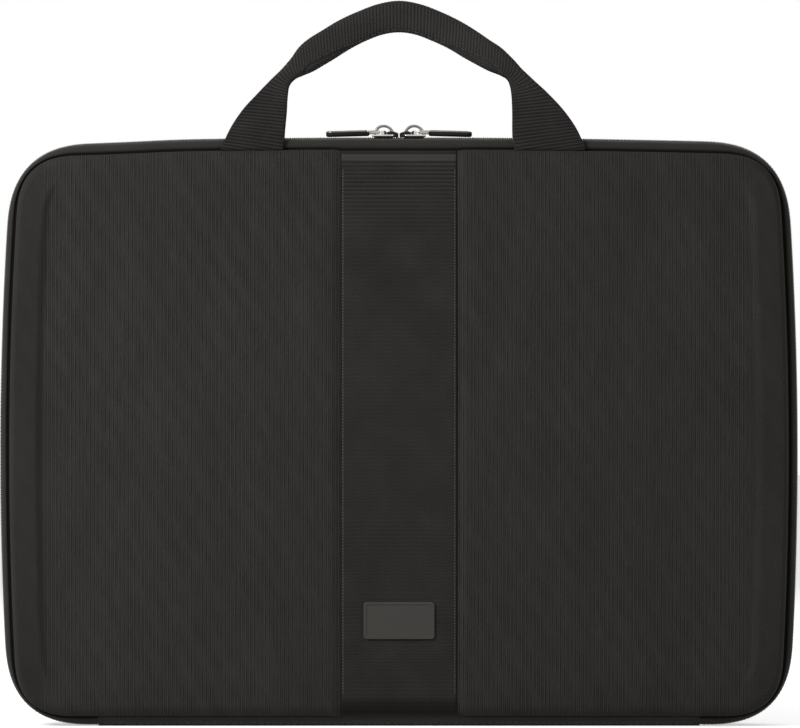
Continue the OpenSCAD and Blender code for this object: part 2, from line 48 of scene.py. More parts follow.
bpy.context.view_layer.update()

# Sizes in millimetres, in the frame's axes; the front half is the rear half mirrored in Y
CASE_W, CASE_H, CASE_D = 430.0, 316.7, 54.0
HALF_W = CASE_W / 2
WIDE_LEVEL, SIDE_BOW_R, TOP_BOW_R = 148.0, 2100.0, 7150.0
CORNER, POWER, TUCK = 48.0, 2.75, 7.0
FADE_FROM, FADE_OVER = 6.0, 54.0
SEAM_Y, SEAM_SIDE, SEAM_TOP, SEAM_BOTTOM, SEAM_N = 17.0, 5.0, 7.0, 5.3, 6.0
SHRINK = (math.sqrt(2) - 1) / ((1 - 2 ** (-1 / POWER)) * math.sqrt(2))
WALL, LINING_T, SEWN_GAP, RUN_GAP = 3.0, 1.5, 0.2, 0.35
MARGIN_RISE, MARGIN_SLOPE, PANEL_RISE = 9.0, 0.2, 7.05
SIDE_ROUND, TOP_ROUND, BOTTOM_ROUND = 4.0, 6.5, 9.0
MARGIN_W, STEP_W, PANEL_CORNER = 10.2, 5.3, 20.0
DOME = CASE_D / 2 - SEAM_Y - PANEL_RISE
MARGIN_END, MARGIN_TOP = SIDE_ROUND + MARGIN_W, MARGIN_RISE + MARGIN_SLOPE
STRIPE_W, STRIPE_T, CHANNEL, SHOULDER = 61.5, 1.1, 1.8, 6.0
FLOOR_HALF = STRIPE_W / 2 + 0.6
BAND_EDGE, BAND_T, BAND_GAP = 0.35, 1.85, 4.4
BAND_END = BAND_EDGE + BAND_T
TAPE_N, TAPE_T, TAPE_START, TAPE_W = BAND_END + SEWN_GAP, 0.7, 0.8, 10.0

# Points along the sides, the corners and the top of every ring
SIDE_N, CORNER_N = 64, 24
STRIP_END = HALF_W - max(CORNER, SEAM_SIDE + SIDE_ROUND + MARGIN_W + PANEL_CORNER + 7) - 1.5
half_x = np.concatenate([np.linspace(0, FLOOR_HALF, 12), FLOOR_HALF + np.linspace(0.6, SHOULDER, 10),
                         np.linspace(FLOOR_HALF + SHOULDER + 4, 156, 24), [STRIP_END]])
STATIONS = np.concatenate([-half_x[:0:-1], half_x])
COLUMNS = 2 * CORNER_N + len(STATIONS) + 2
RING_N = 2 * SIDE_N + 2 * (COLUMNS - 1)
TURN = np.arange(1, CORNER_N) * math.pi / 2 / CORNER_N
LEAD = 1 - np.cos(TURN) ** (2 / POWER)
RISE = np.sin(TURN) ** (2 / POWER)
EASE = np.clip((np.degrees(TURN) - FADE_FROM) / FADE_OVER, 0, 1)
EASE = EASE * EASE * (3 - 2 * EASE)
OPEN_PATH = np.r_[RING_N - CORNER_N - 1:RING_N, 0:2 * SIDE_N + COLUMNS + CORNER_N + 1]
MIRROR = np.array([-1, 1, 1])


# ---- shape helpers

def columns(*parts):
    """Numbers and arrays side by side along a new last axis."""
    return np.stack(np.broadcast_arrays(*parts), -1)


def unit(v):
    """Vectors at length 1."""
    return v / np.linalg.norm(v, axis=-1, keepdims=True)


def channel(x):
    """Share of the stripe channel's depth across the front."""
    a = np.clip((np.abs(x) - FLOOR_HALF) / SHOULDER, 0, 1)
    return np.where(a <= 0, 1.0, 0.86 * 0.5 * (1 + np.cos(math.pi * a ** 0.85)))


def bow(p):
    """Bows the sides and crowns the top of a straight-sided outline."""
    q = np.array(p, float)
    x, z = q[..., 0].copy(), q[..., 2].copy()
    q[..., 0] = x * (1 - (z - WIDE_LEVEL) ** 2 / (2 * SIDE_BOW_R * HALF_W))
    sag = np.clip((-x - 112) / 60, 0, 1)
    sag = 1.1 * sag * sag * (3 - 2 * sag)
    q[..., 2] = z - x ** 2 / (2 * TOP_BOW_R) * z / CASE_H - sag * (z / CASE_H) ** 3
    return q


def raw_ring(s):
    """One closed ring; s holds inset and y of sides, top and bottom, corner size, channel inset and y."""
    hw, zt, zb, c = HALF_W - s[0], CASE_H - s[2], s[4], s[6]
    side = columns(-hw, s[1], zb + c + (zt - zb - 2 * c) * np.linspace(0, 1, SIDE_N + 1))
    top_corner = columns(-hw + c * LEAD, s[1] + (s[3] - s[1]) * EASE, zt - c + c * RISE)
    low_corner = columns(-hw + c * LEAD, s[1] + (s[5] - s[1]) * EASE, zb + c - c * RISE)
    x = np.r_[-hw + c, STATIONS, hw - c]
    depth = np.r_[0, channel(STATIONS), 0]
    top = columns(x, s[3] - s[8] * depth, zt - s[7] * depth)
    low = columns(x, s[5] - s[8] * depth, zb + s[7] * depth)
    return np.concatenate([side, top_corner, top, (top_corner * MIRROR)[::-1], (side * MIRROR)[::-1],
                           low_corner * MIRROR, low[::-1], low_corner[::-1]])


def band_corner(n):
    """Size of the band's corner curves, which tighten towards the seam."""
    return CORNER - SHRINK * n - TUCK * min(max(n - 1, 0) / (SEAM_N - 1), 1) ** 1.2


def band_ring(n, y=0.0, dip=0.0):
    """A ring of the band, n units in from the silhouette, drawn in at the stripe by dip."""
    k = n / SEAM_N
    return bow(raw_ring([SEAM_SIDE * k, y, SEAM_TOP * k, y, SEAM_BOTTOM * k, y, band_corner(n), dip, 0]))


def shell_spec(side, top, bottom, corner, ch_in=0.0, ch_y=0.0):
    return np.array([SEAM_SIDE + side[0], SEAM_Y + side[1], SEAM_TOP + top[0], SEAM_Y + top[1],
                     SEAM_BOTTOM + bottom[0], SEAM_Y + bottom[1], corner, ch_in, ch_y])


SEAM_CORNER = band_corner(SEAM_N)
SEAM_DIP, SEAM_GAP = 0.7, 0.7


def shell_specs(depth):
    """Rings of a shell's outer face, from the seam to the panel's border."""
    specs = [shell_spec((SEAM_GAP + d, -e), (d, -e), (d, -e), SEAM_CORNER - d * SHRINK, SEAM_DIP)
             for d, e in ((0.7, 1.9), (0.2, 1.1))]
    for a in np.radians(np.r_[0:90:13j]):
        c, s, k = 1 - math.cos(a), math.sin(a), math.degrees(a) / 30
        specs.append(shell_spec((SEAM_GAP + (SIDE_ROUND - SEAM_GAP) * c, MARGIN_RISE * s),
                                (TOP_ROUND * c, (PANEL_RISE - 0.6) * s),
                                (BOTTOM_ROUND * c, (PANEL_RISE - 0.8) * s),
                                SEAM_CORNER - (SEAM_CORNER - PANEL_CORNER) * 0.12 * k,
                                depth * math.cos(a) if a else SEAM_DIP, depth * s))
    start = SEAM_CORNER - (SEAM_CORNER - PANEL_CORNER) * 0.36
    for t in (0.25, 0.5, 0.75, 0.92):
        specs.append(shell_spec((SIDE_ROUND + MARGIN_W * t, MARGIN_RISE + MARGIN_SLOPE * t),
                                (TOP_ROUND + 2 * t, PANEL_RISE - 0.6 + 0.3 * t),
                                (BOTTOM_ROUND + 2 * t, PANEL_RISE - 0.8 + 0.35 * t),
                                start + (PANEL_CORNER + 7 - start) * t, 0, depth))
    for t in np.linspace(0, 1, 11):
        drop = (MARGIN_TOP - PANEL_RISE) * (0.5 - 0.5 * math.cos(math.pi * t))
        specs.append(shell_spec((MARGIN_END + STEP_W * t, MARGIN_TOP - drop),
                                (TOP_ROUND + 2 + 4 * t, PANEL_RISE - 0.3 + 0.3 * t),
                                (BOTTOM_ROUND + 2 + 4 * t, PANEL_RISE - 0.45 + 0.45 * t),
                                PANEL_CORNER + 7 - 7 * t, 0, depth))
    return specs


def tray_specs(d):
    """Rings of the surface d inside a shell's inner face, from the flat floor to the rim."""
    f = WALL + d
    shift = 0.3 * f
    return [shell_spec((MARGIN_END + STEP_W - shift, PANEL_RISE - f), (TOP_ROUND + 6 + f, PANEL_RISE - f),
                       (BOTTOM_ROUND + 6 + f, PANEL_RISE - f), PANEL_CORNER - 2),
            shell_spec((MARGIN_END - shift, MARGIN_TOP - f),
                       (TOP_ROUND + f, PANEL_RISE - f - 0.5), (BOTTOM_ROUND + f, PANEL_RISE - f - 0.6),
                       PANEL_CORNER + 6),
            shell_spec((SIDE_ROUND / 2 + f, MARGIN_RISE - f), (TOP_ROUND / 2 + f - 1, PANEL_RISE - f - 1.6),
                       (BOTTOM_ROUND / 2 + f - 1, PANEL_RISE - f - 1.8), SEAM_CORNER - 10),
            shell_spec((f, 0), (f, 0), (f, 0), SEAM_CORNER - f * SHRINK)]


def smooth(points, per_step, closed=False):
    """A smooth curve through rows of numbers."""
    p = np.array(points, float)
    n = len(p)
    k = np.arange(n * per_step if closed else (n - 1) * per_step + 1) / per_step
    i = np.minimum(k.astype(int), n - 1 if closed else n - 2)
    t = (k - i)[:, None]
    near = i[:, None] + [-1, 0, 1, 2]
    a, b, c, d = p[near % n if closed else np.clip(near, 0, n - 1)].transpose(1, 0, 2)
    return 0.5 * (2 * b + (c - a) * t + (2 * a - 5 * b + 4 * c - d) * t * t
                  + (3 * b - a - 3 * c + d) * t ** 3)


def arc(points):
    """Running length along a row of points."""
    return np.r_[0, np.cumsum(np.linalg.norm(np.diff(points, axis=0), axis=1))]


def resample(points, s, lengths=None):
    """Rows of a line at the running lengths s, measured along it or as given in lengths."""
    lengths = arc(points) if lengths is None else lengths
    return np.stack([np.interp(s, lengths, column) for column in points.T], axis=1)


def noise(points, scale, seed):
    """Smooth noise from -1 to 1 made of sines, the same every run."""
    rng = np.random.default_rng(seed)
    total = np.zeros(points.shape[:-1])
    for _ in range(7):
        total += np.sin(points @ (rng.normal(size=3) / scale) + rng.uniform(0, 6.28))
    return total / 3.5


def new_object(name, mesh, flat_angle=None):
    """Shades a mesh smooth, with sharp edges past an angle, and puts it in the scene."""
    mesh.polygons.foreach_set("use_smooth", np.ones(len(mesh.polygons), bool))
    mesh.update()
    if flat_angle is not None:
        mesh.set_sharp_from_angle(angle=math.radians(flat_angle))
    obj = bpy.data.objects.new(name, mesh)
    scene.collection.objects.link(obj)
    return obj


class Form:
    """Collects the faces of one piece, in millimetres at the rear, and makes its object."""

    def __init__(self):
        self.points, self.faces, self.uvs, self.slots, self.count = [], [], [], [], 0

    def add(self, points, faces, uv=None, slot=0):
        points = np.asarray(points, float).reshape(-1, 3)
        self.points.append(points)
        self.uvs.append(np.zeros((len(points), 2)) if uv is None else np.asarray(uv, float).reshape(-1, 2))
        self.faces += [[int(i) + self.count for i in f] for f in faces]
        self.slots += [slot] * len(faces)
        self.count += len(points)

    def grid(self, points, wrap=True, caps=True, uv=None, slot=0):
        """A surface of rows of points; wrap joins each row's ends, caps close the first and last row."""
        rows, cols = points.shape[:2]
        index = np.arange(rows * cols).reshape(rows, cols)
        nxt = np.roll(index, -1, axis=1) if wrap else index[:, 1:]
        cur = index if wrap else index[:, :-1]
        quads = np.stack([cur[:-1], cur[1:], nxt[1:], nxt[:-1]], axis=-1).reshape(-1, 4).tolist()
        if caps:
            quads += [index[0].tolist(), index[-1][::-1].tolist()]
        self.add(points, quads, uv, slot)

    def make(self, name, materials, front=False, left=False, flat_angle=None):
        """The object, mirrored for the front or the left; materials are keys of M, by slot."""
        points = np.concatenate(self.points) * 0.001
        sign = np.array([-1 if left else 1, -1 if front else 1, 1])
        mesh = bpy.data.meshes.new(name)
        faces = self.faces if front == left else [f[::-1] for f in self.faces]
        mesh.from_pydata((points * sign).tolist(), [], faces)
        layer = mesh.uv_layers.new(name="UVMap")
        loops = np.zeros(len(mesh.loops), np.int32)
        mesh.loops.foreach_get("vertex_index", loops)
        layer.data.foreach_set("uv", np.concatenate(self.uvs)[loops].ravel().astype(np.float32))
        for key in materials.split():
            mesh.materials.append(M[key])
        mesh.polygons.foreach_set("material_index", np.array(self.slots, np.int32))
        return new_object(name, mesh, flat_angle)

    def put(self, name, materials, body, slot, node, flat_angle=None):
        """The object on its body, in a node's place; the lid's pieces are mirrored to the front."""
        return place(self.make(name, materials, body == "lid", flat_angle=flat_angle), body, node)


def sweep(form, path, section, up, slot=0):
    """Sweeps a closed section, one ring or one per point, down a path; up is roughly its second axis."""
    t = unit(np.gradient(path, axis=0))
    a = unit(np.cross(up * np.ones_like(path), t))
    b = np.cross(t, a)
    section = section * np.ones((len(path), 1, 1))
    points = path[:, None] + section[..., :1] * a[:, None] + section[..., 1:] * b[:, None]
    around = np.arange(section.shape[1]) / section.shape[1]
    form.grid(points, uv=columns(around, arc(path)[:, None]), slot=slot)


def oval(rx, ry, n=12, power=2.0):
    a = np.arange(n) * 2 * math.pi / n
    c, s = np.cos(a), np.sin(a)
    return np.c_[rx * np.sign(c) * np.abs(c) ** (2 / power), ry * np.sign(s) * np.abs(s) ** (2 / power)]


def stitches(form, path, outward, length=2.6, gap=1.0, radius=0.24):
    """A row of thread stitches along a path, each a small arched capsule that dips into the cloth."""
    run = arc(path)
    count = int(run[-1] / (length + gap))
    pitch = run[-1] / count
    ends = np.array([0.0, 0.12, 0.35, 0.65, 0.88, 1.0]) - 0.5
    size = np.array([0.35, 0.8, 1.0, 1.0, 0.8, 0.35])[:, None, None]
    sink = np.array([-0.5, 0.05, 0.45, 0.45, 0.05, -0.5])[:, None] * radius
    outward = outward * np.ones_like(path)
    for i in range(count):
        s = pitch * (i + 0.5) + ends * (pitch - gap)
        up = resample(outward, s, run)
        sweep(form, resample(path, s) + up * sink, oval(radius, radius * 0.8, 6) * size, up, slot=1)


# ---- materials

class Nodes:
    """Short calls for building the nodes of one material, or of the world."""

    def __init__(self, name, owner=None):
        self.owner = owner or bpy.data.materials.new(name)
        self.owner.use_nodes = True
        self.tree = self.owner.node_tree
        self.shader = self.tree.nodes.get("Principled BSDF")

    def feed(self, node, sockets):
        """Sets a node's sockets to values, or links them to other sockets."""
        for key, value in sockets.items():
            if isinstance(value, bpy.types.NodeSocket):
                self.tree.links.new(value, node.inputs[key])
            else:
                node.inputs[key].default_value = value
        return node

    def new(self, kind, sockets={}, **settings):
        node = self.tree.nodes.new(kind)
        for key, value in settings.items():
            setattr(node, key, value)
        return self.feed(node, sockets)

    def math(self, op, *values, clamp=False):
        return self.new("ShaderNodeMath", dict(enumerate(values)), operation=op, use_clamp=clamp).outputs[0]

    scaled = partialmethod(math, "MULTIPLY_ADD")
    times = partialmethod(math, "MULTIPLY")
    plus = partialmethod(math, "ADD")
    minus = partialmethod(math, "SUBTRACT")

    def axes(self, kind, factor):
        """Coordinates of one kind, times a factor."""
        split = self.new("ShaderNodeSeparateXYZ", {0: self.new("ShaderNodeTexCoord").outputs[kind]})
        return [self.times(split.outputs[i], factor) for i in range(3)]

    def wave(self, coordinate, pitch, phase=0.0):
        """A sine from 0 to 1 with the given pitch."""
        turned = self.scaled(coordinate, 2 * math.pi / pitch, phase)
        return self.scaled(self.math("SINE", turned), 0.5, 0.5)

    def noise(self, scale, detail=2.0, rough=0.5, stretch=None):
        at = self.new("ShaderNodeTexCoord").outputs["Object"]
        if stretch:
            at = self.new("ShaderNodeMapping", {"Vector": at, "Scale": stretch}).outputs[0]
        sockets = {"Vector": at, "Scale": scale, "Detail": detail, "Roughness": rough}
        return self.new("ShaderNodeTexNoise", sockets).outputs["Fac"]

    def colour(self, factor, stops):
        """A colour ramp from 0 to 1."""
        ramp = self.new("ShaderNodeValToRGB", {0: factor})
        elements = ramp.color_ramp.elements
        while len(elements) < len(stops):
            elements.new(0.5)
        for element, (position, value) in zip(elements, stops):
            element.position, element.color = position, value
        return ramp.outputs[0]

    def bump(self, height, distance):
        node = self.new("ShaderNodeBump", {"Height": height, "Distance": distance * 0.001})
        self.feed(self.shader, {"Normal": node.outputs[0]})

    def finish(self, colour, rough, sheen=0.0, specular=0.5, metal=0.0, sheen_rough=0.4):
        self.feed(self.shader, {"Base Color": colour, "Roughness": rough, "Metallic": metal,
                                "Sheen Weight": sheen, "Sheen Roughness": sheen_rough,
                                "Sheen Tint": (1, 0.97, 0.95, 1), "Specular IOR Level": specular})
        return self.owner


def grey(level, red=1.09, blue=0.965):
    """A slightly warm dark grey at a linear level."""
    return (level * red, level, level * blue, 1.0)


def shell_cloth(name):
    """Nylon laminated on moulded foam: upright ribs on the panel, a plain square weave on the margins."""
    n = Nodes(name)
    x, y, z = n.axes("Object", 1000.0)
    # The ribs come and go in slanting patches, as a fine rib does when it is pressed into shape
    slant = n.scaled(n.noise(34, 2, 0.5), 9.0, n.scaled(z, 0.55, x))
    vivid = n.times(n.wave(slant, 13.0), n.noise(20, 2, 0.5, (1, 1, 0.5)))
    vivid = n.scaled(vivid, 1.5, 0.25)
    swayed = n.scaled(n.noise(30, 2, 0.5, (1, 1, 0.2)), 1.2, x)
    rib = n.scaled(n.wave(swayed, 2.0), 0.62, -0.31)
    fine = n.scaled(n.wave(x, 1.13), 1.1, -0.55)
    dotted = n.scaled(n.wave(n.scaled(swayed, 0.8, z), 1.93), 1.3, 0.35)
    streak = n.minus(n.noise(620, 2, 0.6, (1, 1, 0.12)), 0.5)
    ribs = n.times(n.scaled(fine, dotted, rib), n.plus(vivid, 0.1))
    ribs = n.scaled(streak, 0.75, ribs)
    check = n.times(n.minus(n.wave(x, 1.57), 0.5), n.minus(n.wave(z, 1.99), 0.5))
    check = n.scaled(check, n.scaled(vivid, 2.8, 0.7), -0.2)
    inside = n.minus(191.0, n.math("ABSOLUTE", x))
    inside = n.scaled(inside, 0.25, 0.5, clamp=True)
    cloth = n.new("ShaderNodeMix", {0: inside, 2: check, 3: ribs}, data_type="FLOAT").outputs[0]
    patchy = n.scaled(n.noise(55, 3, 0.6, (1, 1, 0.35)), 0.5, -0.25)
    thread = n.scaled(n.noise(1500, 2, 0.6, (1, 1, 0.4)), 0.5, 0.25)
    tone = n.plus(n.times(cloth, 0.62), n.plus(patchy, thread), clamp=True)
    colour = n.colour(tone, [(0.0, grey(0.018)), (0.5, grey(0.0275)), (1.0, grey(0.041))])
    n.bump(n.scaled(thread, 0.4, cloth), 0.2)
    return n.finish(colour, 0.9, sheen=0.03, specular=0.02)


def band_cloth(name, level=0.028):
    """Plain woven nylon on the padded band and the hinge."""
    n = Nodes(name)
    x, y, z = n.axes("Object", 1000.0)
    along = n.plus(x, z)
    check = n.times(n.minus(n.wave(along, 1.0), 0.5), n.minus(n.wave(y, 0.9), 0.5))
    check = n.scaled(check, 2.0, 0.5)
    thread = n.scaled(n.noise(1800, 2, 0.6), 0.7, -0.35)
    patchy = n.scaled(n.noise(45, 3, 0.55), 0.5, -0.25)
    tone = n.plus(check, n.plus(patchy, thread), clamp=True)
    shades = [(at, grey(level * k, 1.05, 0.88)) for at, k in ((0.0, 0.65), (0.5, 1.0), (1.0, 1.4))]
    n.bump(n.plus(check, thread), 0.1)
    return n.finish(n.colour(tone, shades), 0.9, sheen=0.1, specular=0.04)


def webbing_cloth(name, level=0.024, pitch=2.15, deep=0.45, weight=0.75, on_front=False):
    """Ribbed webbing; the ribs are modelled, and this adds their furrows and the yarns over them."""
    n = Nodes(name)
    u, v, _ = n.axes("UV", 1.0)
    x, y, z = n.axes("Object", 1000.0)
    rib = n.scaled(n.wave(v, pitch, -math.pi / 2), weight, (0.75 - weight) / 2)
    yarn = n.wave(u, 0.85)
    thread = n.scaled(n.noise(1600, 2, 0.6), 0.5, -0.25)
    patchy = n.scaled(n.noise(50, 3, 0.55), 0.5, -0.25)
    zigzag = n.times(n.wave(n.scaled(v, 0.9, u), 1.75), n.wave(v, 1.1))
    if on_front:
        # The ribs show below the top seam and fade into a fine zigzag further down
        clear = n.scaled(z, 0.035, -9.1, clamp=True)
        clear = n.times(clear, n.noise(40, 2, 0.5, (0.4, 1, 1)))
        rib = n.scaled(n.minus(rib, 0.375), n.scaled(clear, 1.7, 0.08), 0.3)
        # Painted light on the stripe's ends: a painted highlight on the fold below the top seam (z 305.5),
        # painted shade in the fold just above it (z 308.9), and painted shade where the stripe turns down
        # into the bottom seam (z 9)
        for middle, half, gain in ((305.5, 2.0, 0.75), (308.9, 1.4, -0.5), (9.0, 7.0, -0.45)):
            away = n.math("ABSOLUTE", n.minus(z, middle))
            near = n.scaled(away, -2 / half, 2.0, clamp=True)
            rib = n.scaled(near, gain, rib)
    else:
        # The legs below the grip are painted darker than the grip: painted shade on the same webbing
        leg_shade = n.scaled(z, -0.05, 17.6, clamp=True)
        rib = n.scaled(n.times(leg_shade, n.math("GREATER_THAN", z, 250.0)), -0.2, rib)
    tone = n.scaled(zigzag, 0.6 if on_front else 0.28, n.scaled(yarn, 0.12, rib))
    tone = n.plus(tone, n.plus(patchy, thread), clamp=True)
    colour = n.colour(tone, [(0.0, grey(level * deep)), (0.5, grey(level)), (1.0, grey(level * 1.9))])
    n.bump(n.plus(n.times(yarn, 0.6), thread), 0.08)
    return n.finish(colour, 0.85, sheen=0.05, specular=0.06)


def speckled(name, texture, low, high, bump, rough, swing, specular, sheen=0.0):
    """A fine-grained finish: one noise moves the colour, the bump and the roughness."""
    n = Nodes(name)
    tone = n.noise(*texture)
    if bump:
        n.bump(tone, bump)
    if swing:
        rough = n.scaled(tone, swing, rough)
    return n.finish(n.colour(tone, [(0.3, grey(low)), (0.7, grey(high))]), rough, sheen, specular)


def sewing(name, level):
    return speckled(name, (2200, 2, 0.6), level * 0.7, level * 1.3, 0.05, 0.6, 0, 0.3, sheen=0.1)


def rubber(name):
    n = Nodes(name)
    grain = n.noise(2600, 3, 0.6)
    patchy = n.noise(90, 3, 0.5)
    tone = n.plus(n.times(grain, 0.5), n.times(patchy, 0.5))
    colour = n.colour(tone, [(0.3, (0.026, 0.0245, 0.0215, 1)), (0.7, (0.034, 0.032, 0.0275, 1))])
    n.bump(grain, 0.05)
    return n.finish(colour, n.scaled(patchy, 0.12, 0.5), specular=0.35)


def lining_cloth(name, level=0.055):
    n = Nodes(name)
    x, y, z = n.axes("Object", 1000.0)
    nap = n.noise(900, 4, 0.65)
    brushed = n.noise(70, 4, 0.6, (1, 1, 2.2))
    tone = n.plus(n.times(nap, 0.55), n.times(brushed, 0.45))
    shades = [(at, grey(level * k, 1, 1)) for at, k in ((0.25, 0.75), (0.5, 1), (0.75, 1.3))]
    colour = n.colour(tone, shades)
    n.bump(nap, 0.2)
    return n.finish(colour, 0.9, sheen=0.35, specular=0.1, sheen_rough=0.5)


def metal(name, colour_low, colour_high, rough):
    n = Nodes(name)
    wear = n.noise(220, 4, 0.6)
    brush = n.noise(800, 2, 0.5, (0.2, 1, 1))
    colour = n.colour(wear, [(0.3, colour_low), (0.7, colour_high)])
    n.bump(brush, 0.012)
    return n.finish(colour, n.scaled(wear, 0.16, rough), metal=1.0)


M = {
    "shell": shell_cloth("shell_cloth"),
    "band": band_cloth("band_cloth"),
    "hinge": band_cloth("hinge_cloth", 0.032),
    "stripe": webbing_cloth("stripe_webbing", 0.0195, weight=0.5, on_front=True),
    "webbing": webbing_cloth("handle_webbing", 0.0225, pitch=1.87, deep=0.35, weight=0.5),
    "elastic": webbing_cloth("elastic_webbing", 0.03, pitch=1.6, deep=0.3),
    "binding": webbing_cloth("binding_tape", 0.03, pitch=1.2, deep=0.3),
    "tape": band_cloth("zip_tape", 0.009),
    "coil": speckled("nylon_coil", (300, 2, 0.5), 0.006, 0.011, 0, 0.45, 0.15, 0.12),
    "thread": sewing("sewing_thread", 0.035),
    "dark_thread": sewing("dark_thread", 0.02),
    "light_thread": sewing("light_thread", 0.075),
    "patch": rubber("patch_rubber"),
    "lining": lining_cloth("lining_cloth"),
    "pocket": lining_cloth("pocket_cloth", 0.045),
    "nickel": metal("nickel_plate", (0.62, 0.6, 0.56, 1), (0.74, 0.72, 0.68, 1), 0.16),
    "satin": metal("satin_nickel", (0.2, 0.19, 0.175, 1), (0.32, 0.31, 0.285, 1), 0.26),
    "clevis": metal("clevis_metal", (0.36, 0.345, 0.32, 1), (0.52, 0.5, 0.47, 1), 0.22),
    "black": speckled("black_rubber", (900, 3, 0.6), 0.009, 0.014, 0.03, 0.4, 0.2, 0.15),
}
HALVES = {"rear": "rear_half", "front": "lid"}


def place(obj, body, node):
    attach(obj, body)
    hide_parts(node)
    return obj


# ---- shells and linings

# Points along a ring's lower edge, from its left end
LOWER = (2 * SIDE_N + 2 * (COLUMNS - 1) - np.arange(COLUMNS)) % RING_N


def shell_loft(depth):
    """Points of a closed shell, its faces, and the line down the middle of its outer face."""
    tray = [bow(raw_ring(s)) for s in tray_specs(0)]
    raw = [raw_ring(s) for s in shell_specs(depth)]
    outer = [bow(r) for r in raw]
    rings = tray + outer
    a, b = raw[-1][SIDE_N + 1:SIDE_N + COLUMNS - 1], raw[-1][LOWER[1:-1]]
    t = (np.arange(1, SIDE_N) / SIDE_N)[:, None, None]
    inside = a + (b - a) * t
    across = 1 - (inside[..., 0] / (HALF_W - SEAM_SIDE - SIDE_ROUND - MARGIN_W - STEP_W)) ** 2
    inside[..., 1] += DOME * across * (1 - (2 * t[..., 0] - 1) ** 2)
    points = np.concatenate(rings + [bow(inside).reshape(-1, 3)])
    last, inner = (len(rings) - 1) * RING_N, len(rings) * RING_N
    # The panel's grid, from the last ring's upper edge down to its lower edge
    index = np.zeros((SIDE_N + 1, COLUMNS), int)
    row = np.arange(SIDE_N + 1)
    index[0] = last + SIDE_N + np.arange(COLUMNS)
    index[-1] = last + LOWER
    index[:, 0] = last + SIDE_N - row
    index[:, -1] = last + SIDE_N + COLUMNS - 1 + row
    index[1:-1, 1:-1] = inner + np.arange((SIDE_N - 1) * (COLUMNS - 2)).reshape(SIDE_N - 1, -1)
    k = np.arange(len(rings) - 1)[:, None] * RING_N
    i = np.arange(RING_N)
    j = (i + 1) % RING_N
    faces = columns(k + i, k + RING_N + i, k + RING_N + j, k + j).reshape(-1, 4).tolist()
    faces += columns(index[:-1, :-1], index[1:, :-1], index[1:, 1:], index[:-1, 1:]).reshape(-1, 4).tolist()
    faces.append(list(range(RING_N)))
    middle = list(STATIONS).index(0) + CORNER_N + 1
    line = np.concatenate([[r[SIDE_N + middle] for r in outer], points[index[1:-1, middle]],
                           [r[LOWER[middle]] for r in outer[::-1]]])
    return points, faces, line


for side, body in HALVES.items():
    points, faces, floor_line = shell_loft(CHANNEL if side == "front" else 0)
    form = Form()
    form.add(points, faces, points[:, [0, 2]])
    form.put(side + "_shell_skin", "shell", body, "shell_fabric", side + "_shell", 60)

for side, body in HALVES.items():
    specs = smooth(tray_specs(SEWN_GAP + LINING_T), 5)
    inner = np.array([bow(raw_ring(s)) for s in specs])
    inner[1:-1, :, 1] += 0.12 * noise(inner[1:-1], 16, 5)
    outer = np.array([bow(raw_ring(s)) for s in tray_specs(SEWN_GAP)])[::-1]
    rim = (inner[-1] + outer[0])[None] / 2
    rim[..., 1] -= 0.35
    form = Form()
    rings = np.concatenate([inner, rim, outer])
    form.grid(rings, uv=rings[..., [0, 2]])
    lining = form.put(side + "_lining_pad", "lining", body, "lining_fabric", side + "_lining", 50)


# ---- band, zip and hinge

def open_line(n, y=0.0, dip=0.0):
    """The run of a band ring that the hinge strip leaves open."""
    return band_ring(n, y, dip)[OPEN_PATH]


def open_rows(profile):
    """Rows of a profile's points along that run."""
    return np.array([open_line(n, y) for n, y in profile]).transpose(1, 0, 2)


# The band's puffed face falls into a narrow valley at the seam
outline = np.array([
    [SEAM_N + 3, SEAM_Y - 1.9], [SEAM_N + 0.5, SEAM_Y - 2.0], [5.6, SEAM_Y - 1.9], [5.1, SEAM_Y - 1.1],
    [4.4, SEAM_Y - 0.55], [3.3, SEAM_Y - 0.7], [1.9, SEAM_Y - 1.8], [1.05, SEAM_Y - 4], [0.9, SEAM_Y - 7],
    [1.0, BAND_GAP + 2.8], [1.5, BAND_GAP], [BAND_END, BAND_GAP], [BAND_END, TAPE_START + TAPE_W + RUN_GAP],
    [BAND_END + 0.6, SEAM_Y - 4.8], [4.6, SEAM_Y - 3.2], [SEAM_N + 3, SEAM_Y - 2.6]])
section = np.concatenate([outline[:1], smooth(outline[1:11], 4), outline[11:]])
PUFFED = slice(14, 34)
TOOTH_PITCH = 2.0
TAPE_END = TAPE_N + TAPE_T
coil_path = open_line(0.25)
inward = unit(open_line(2.4) - coil_path)

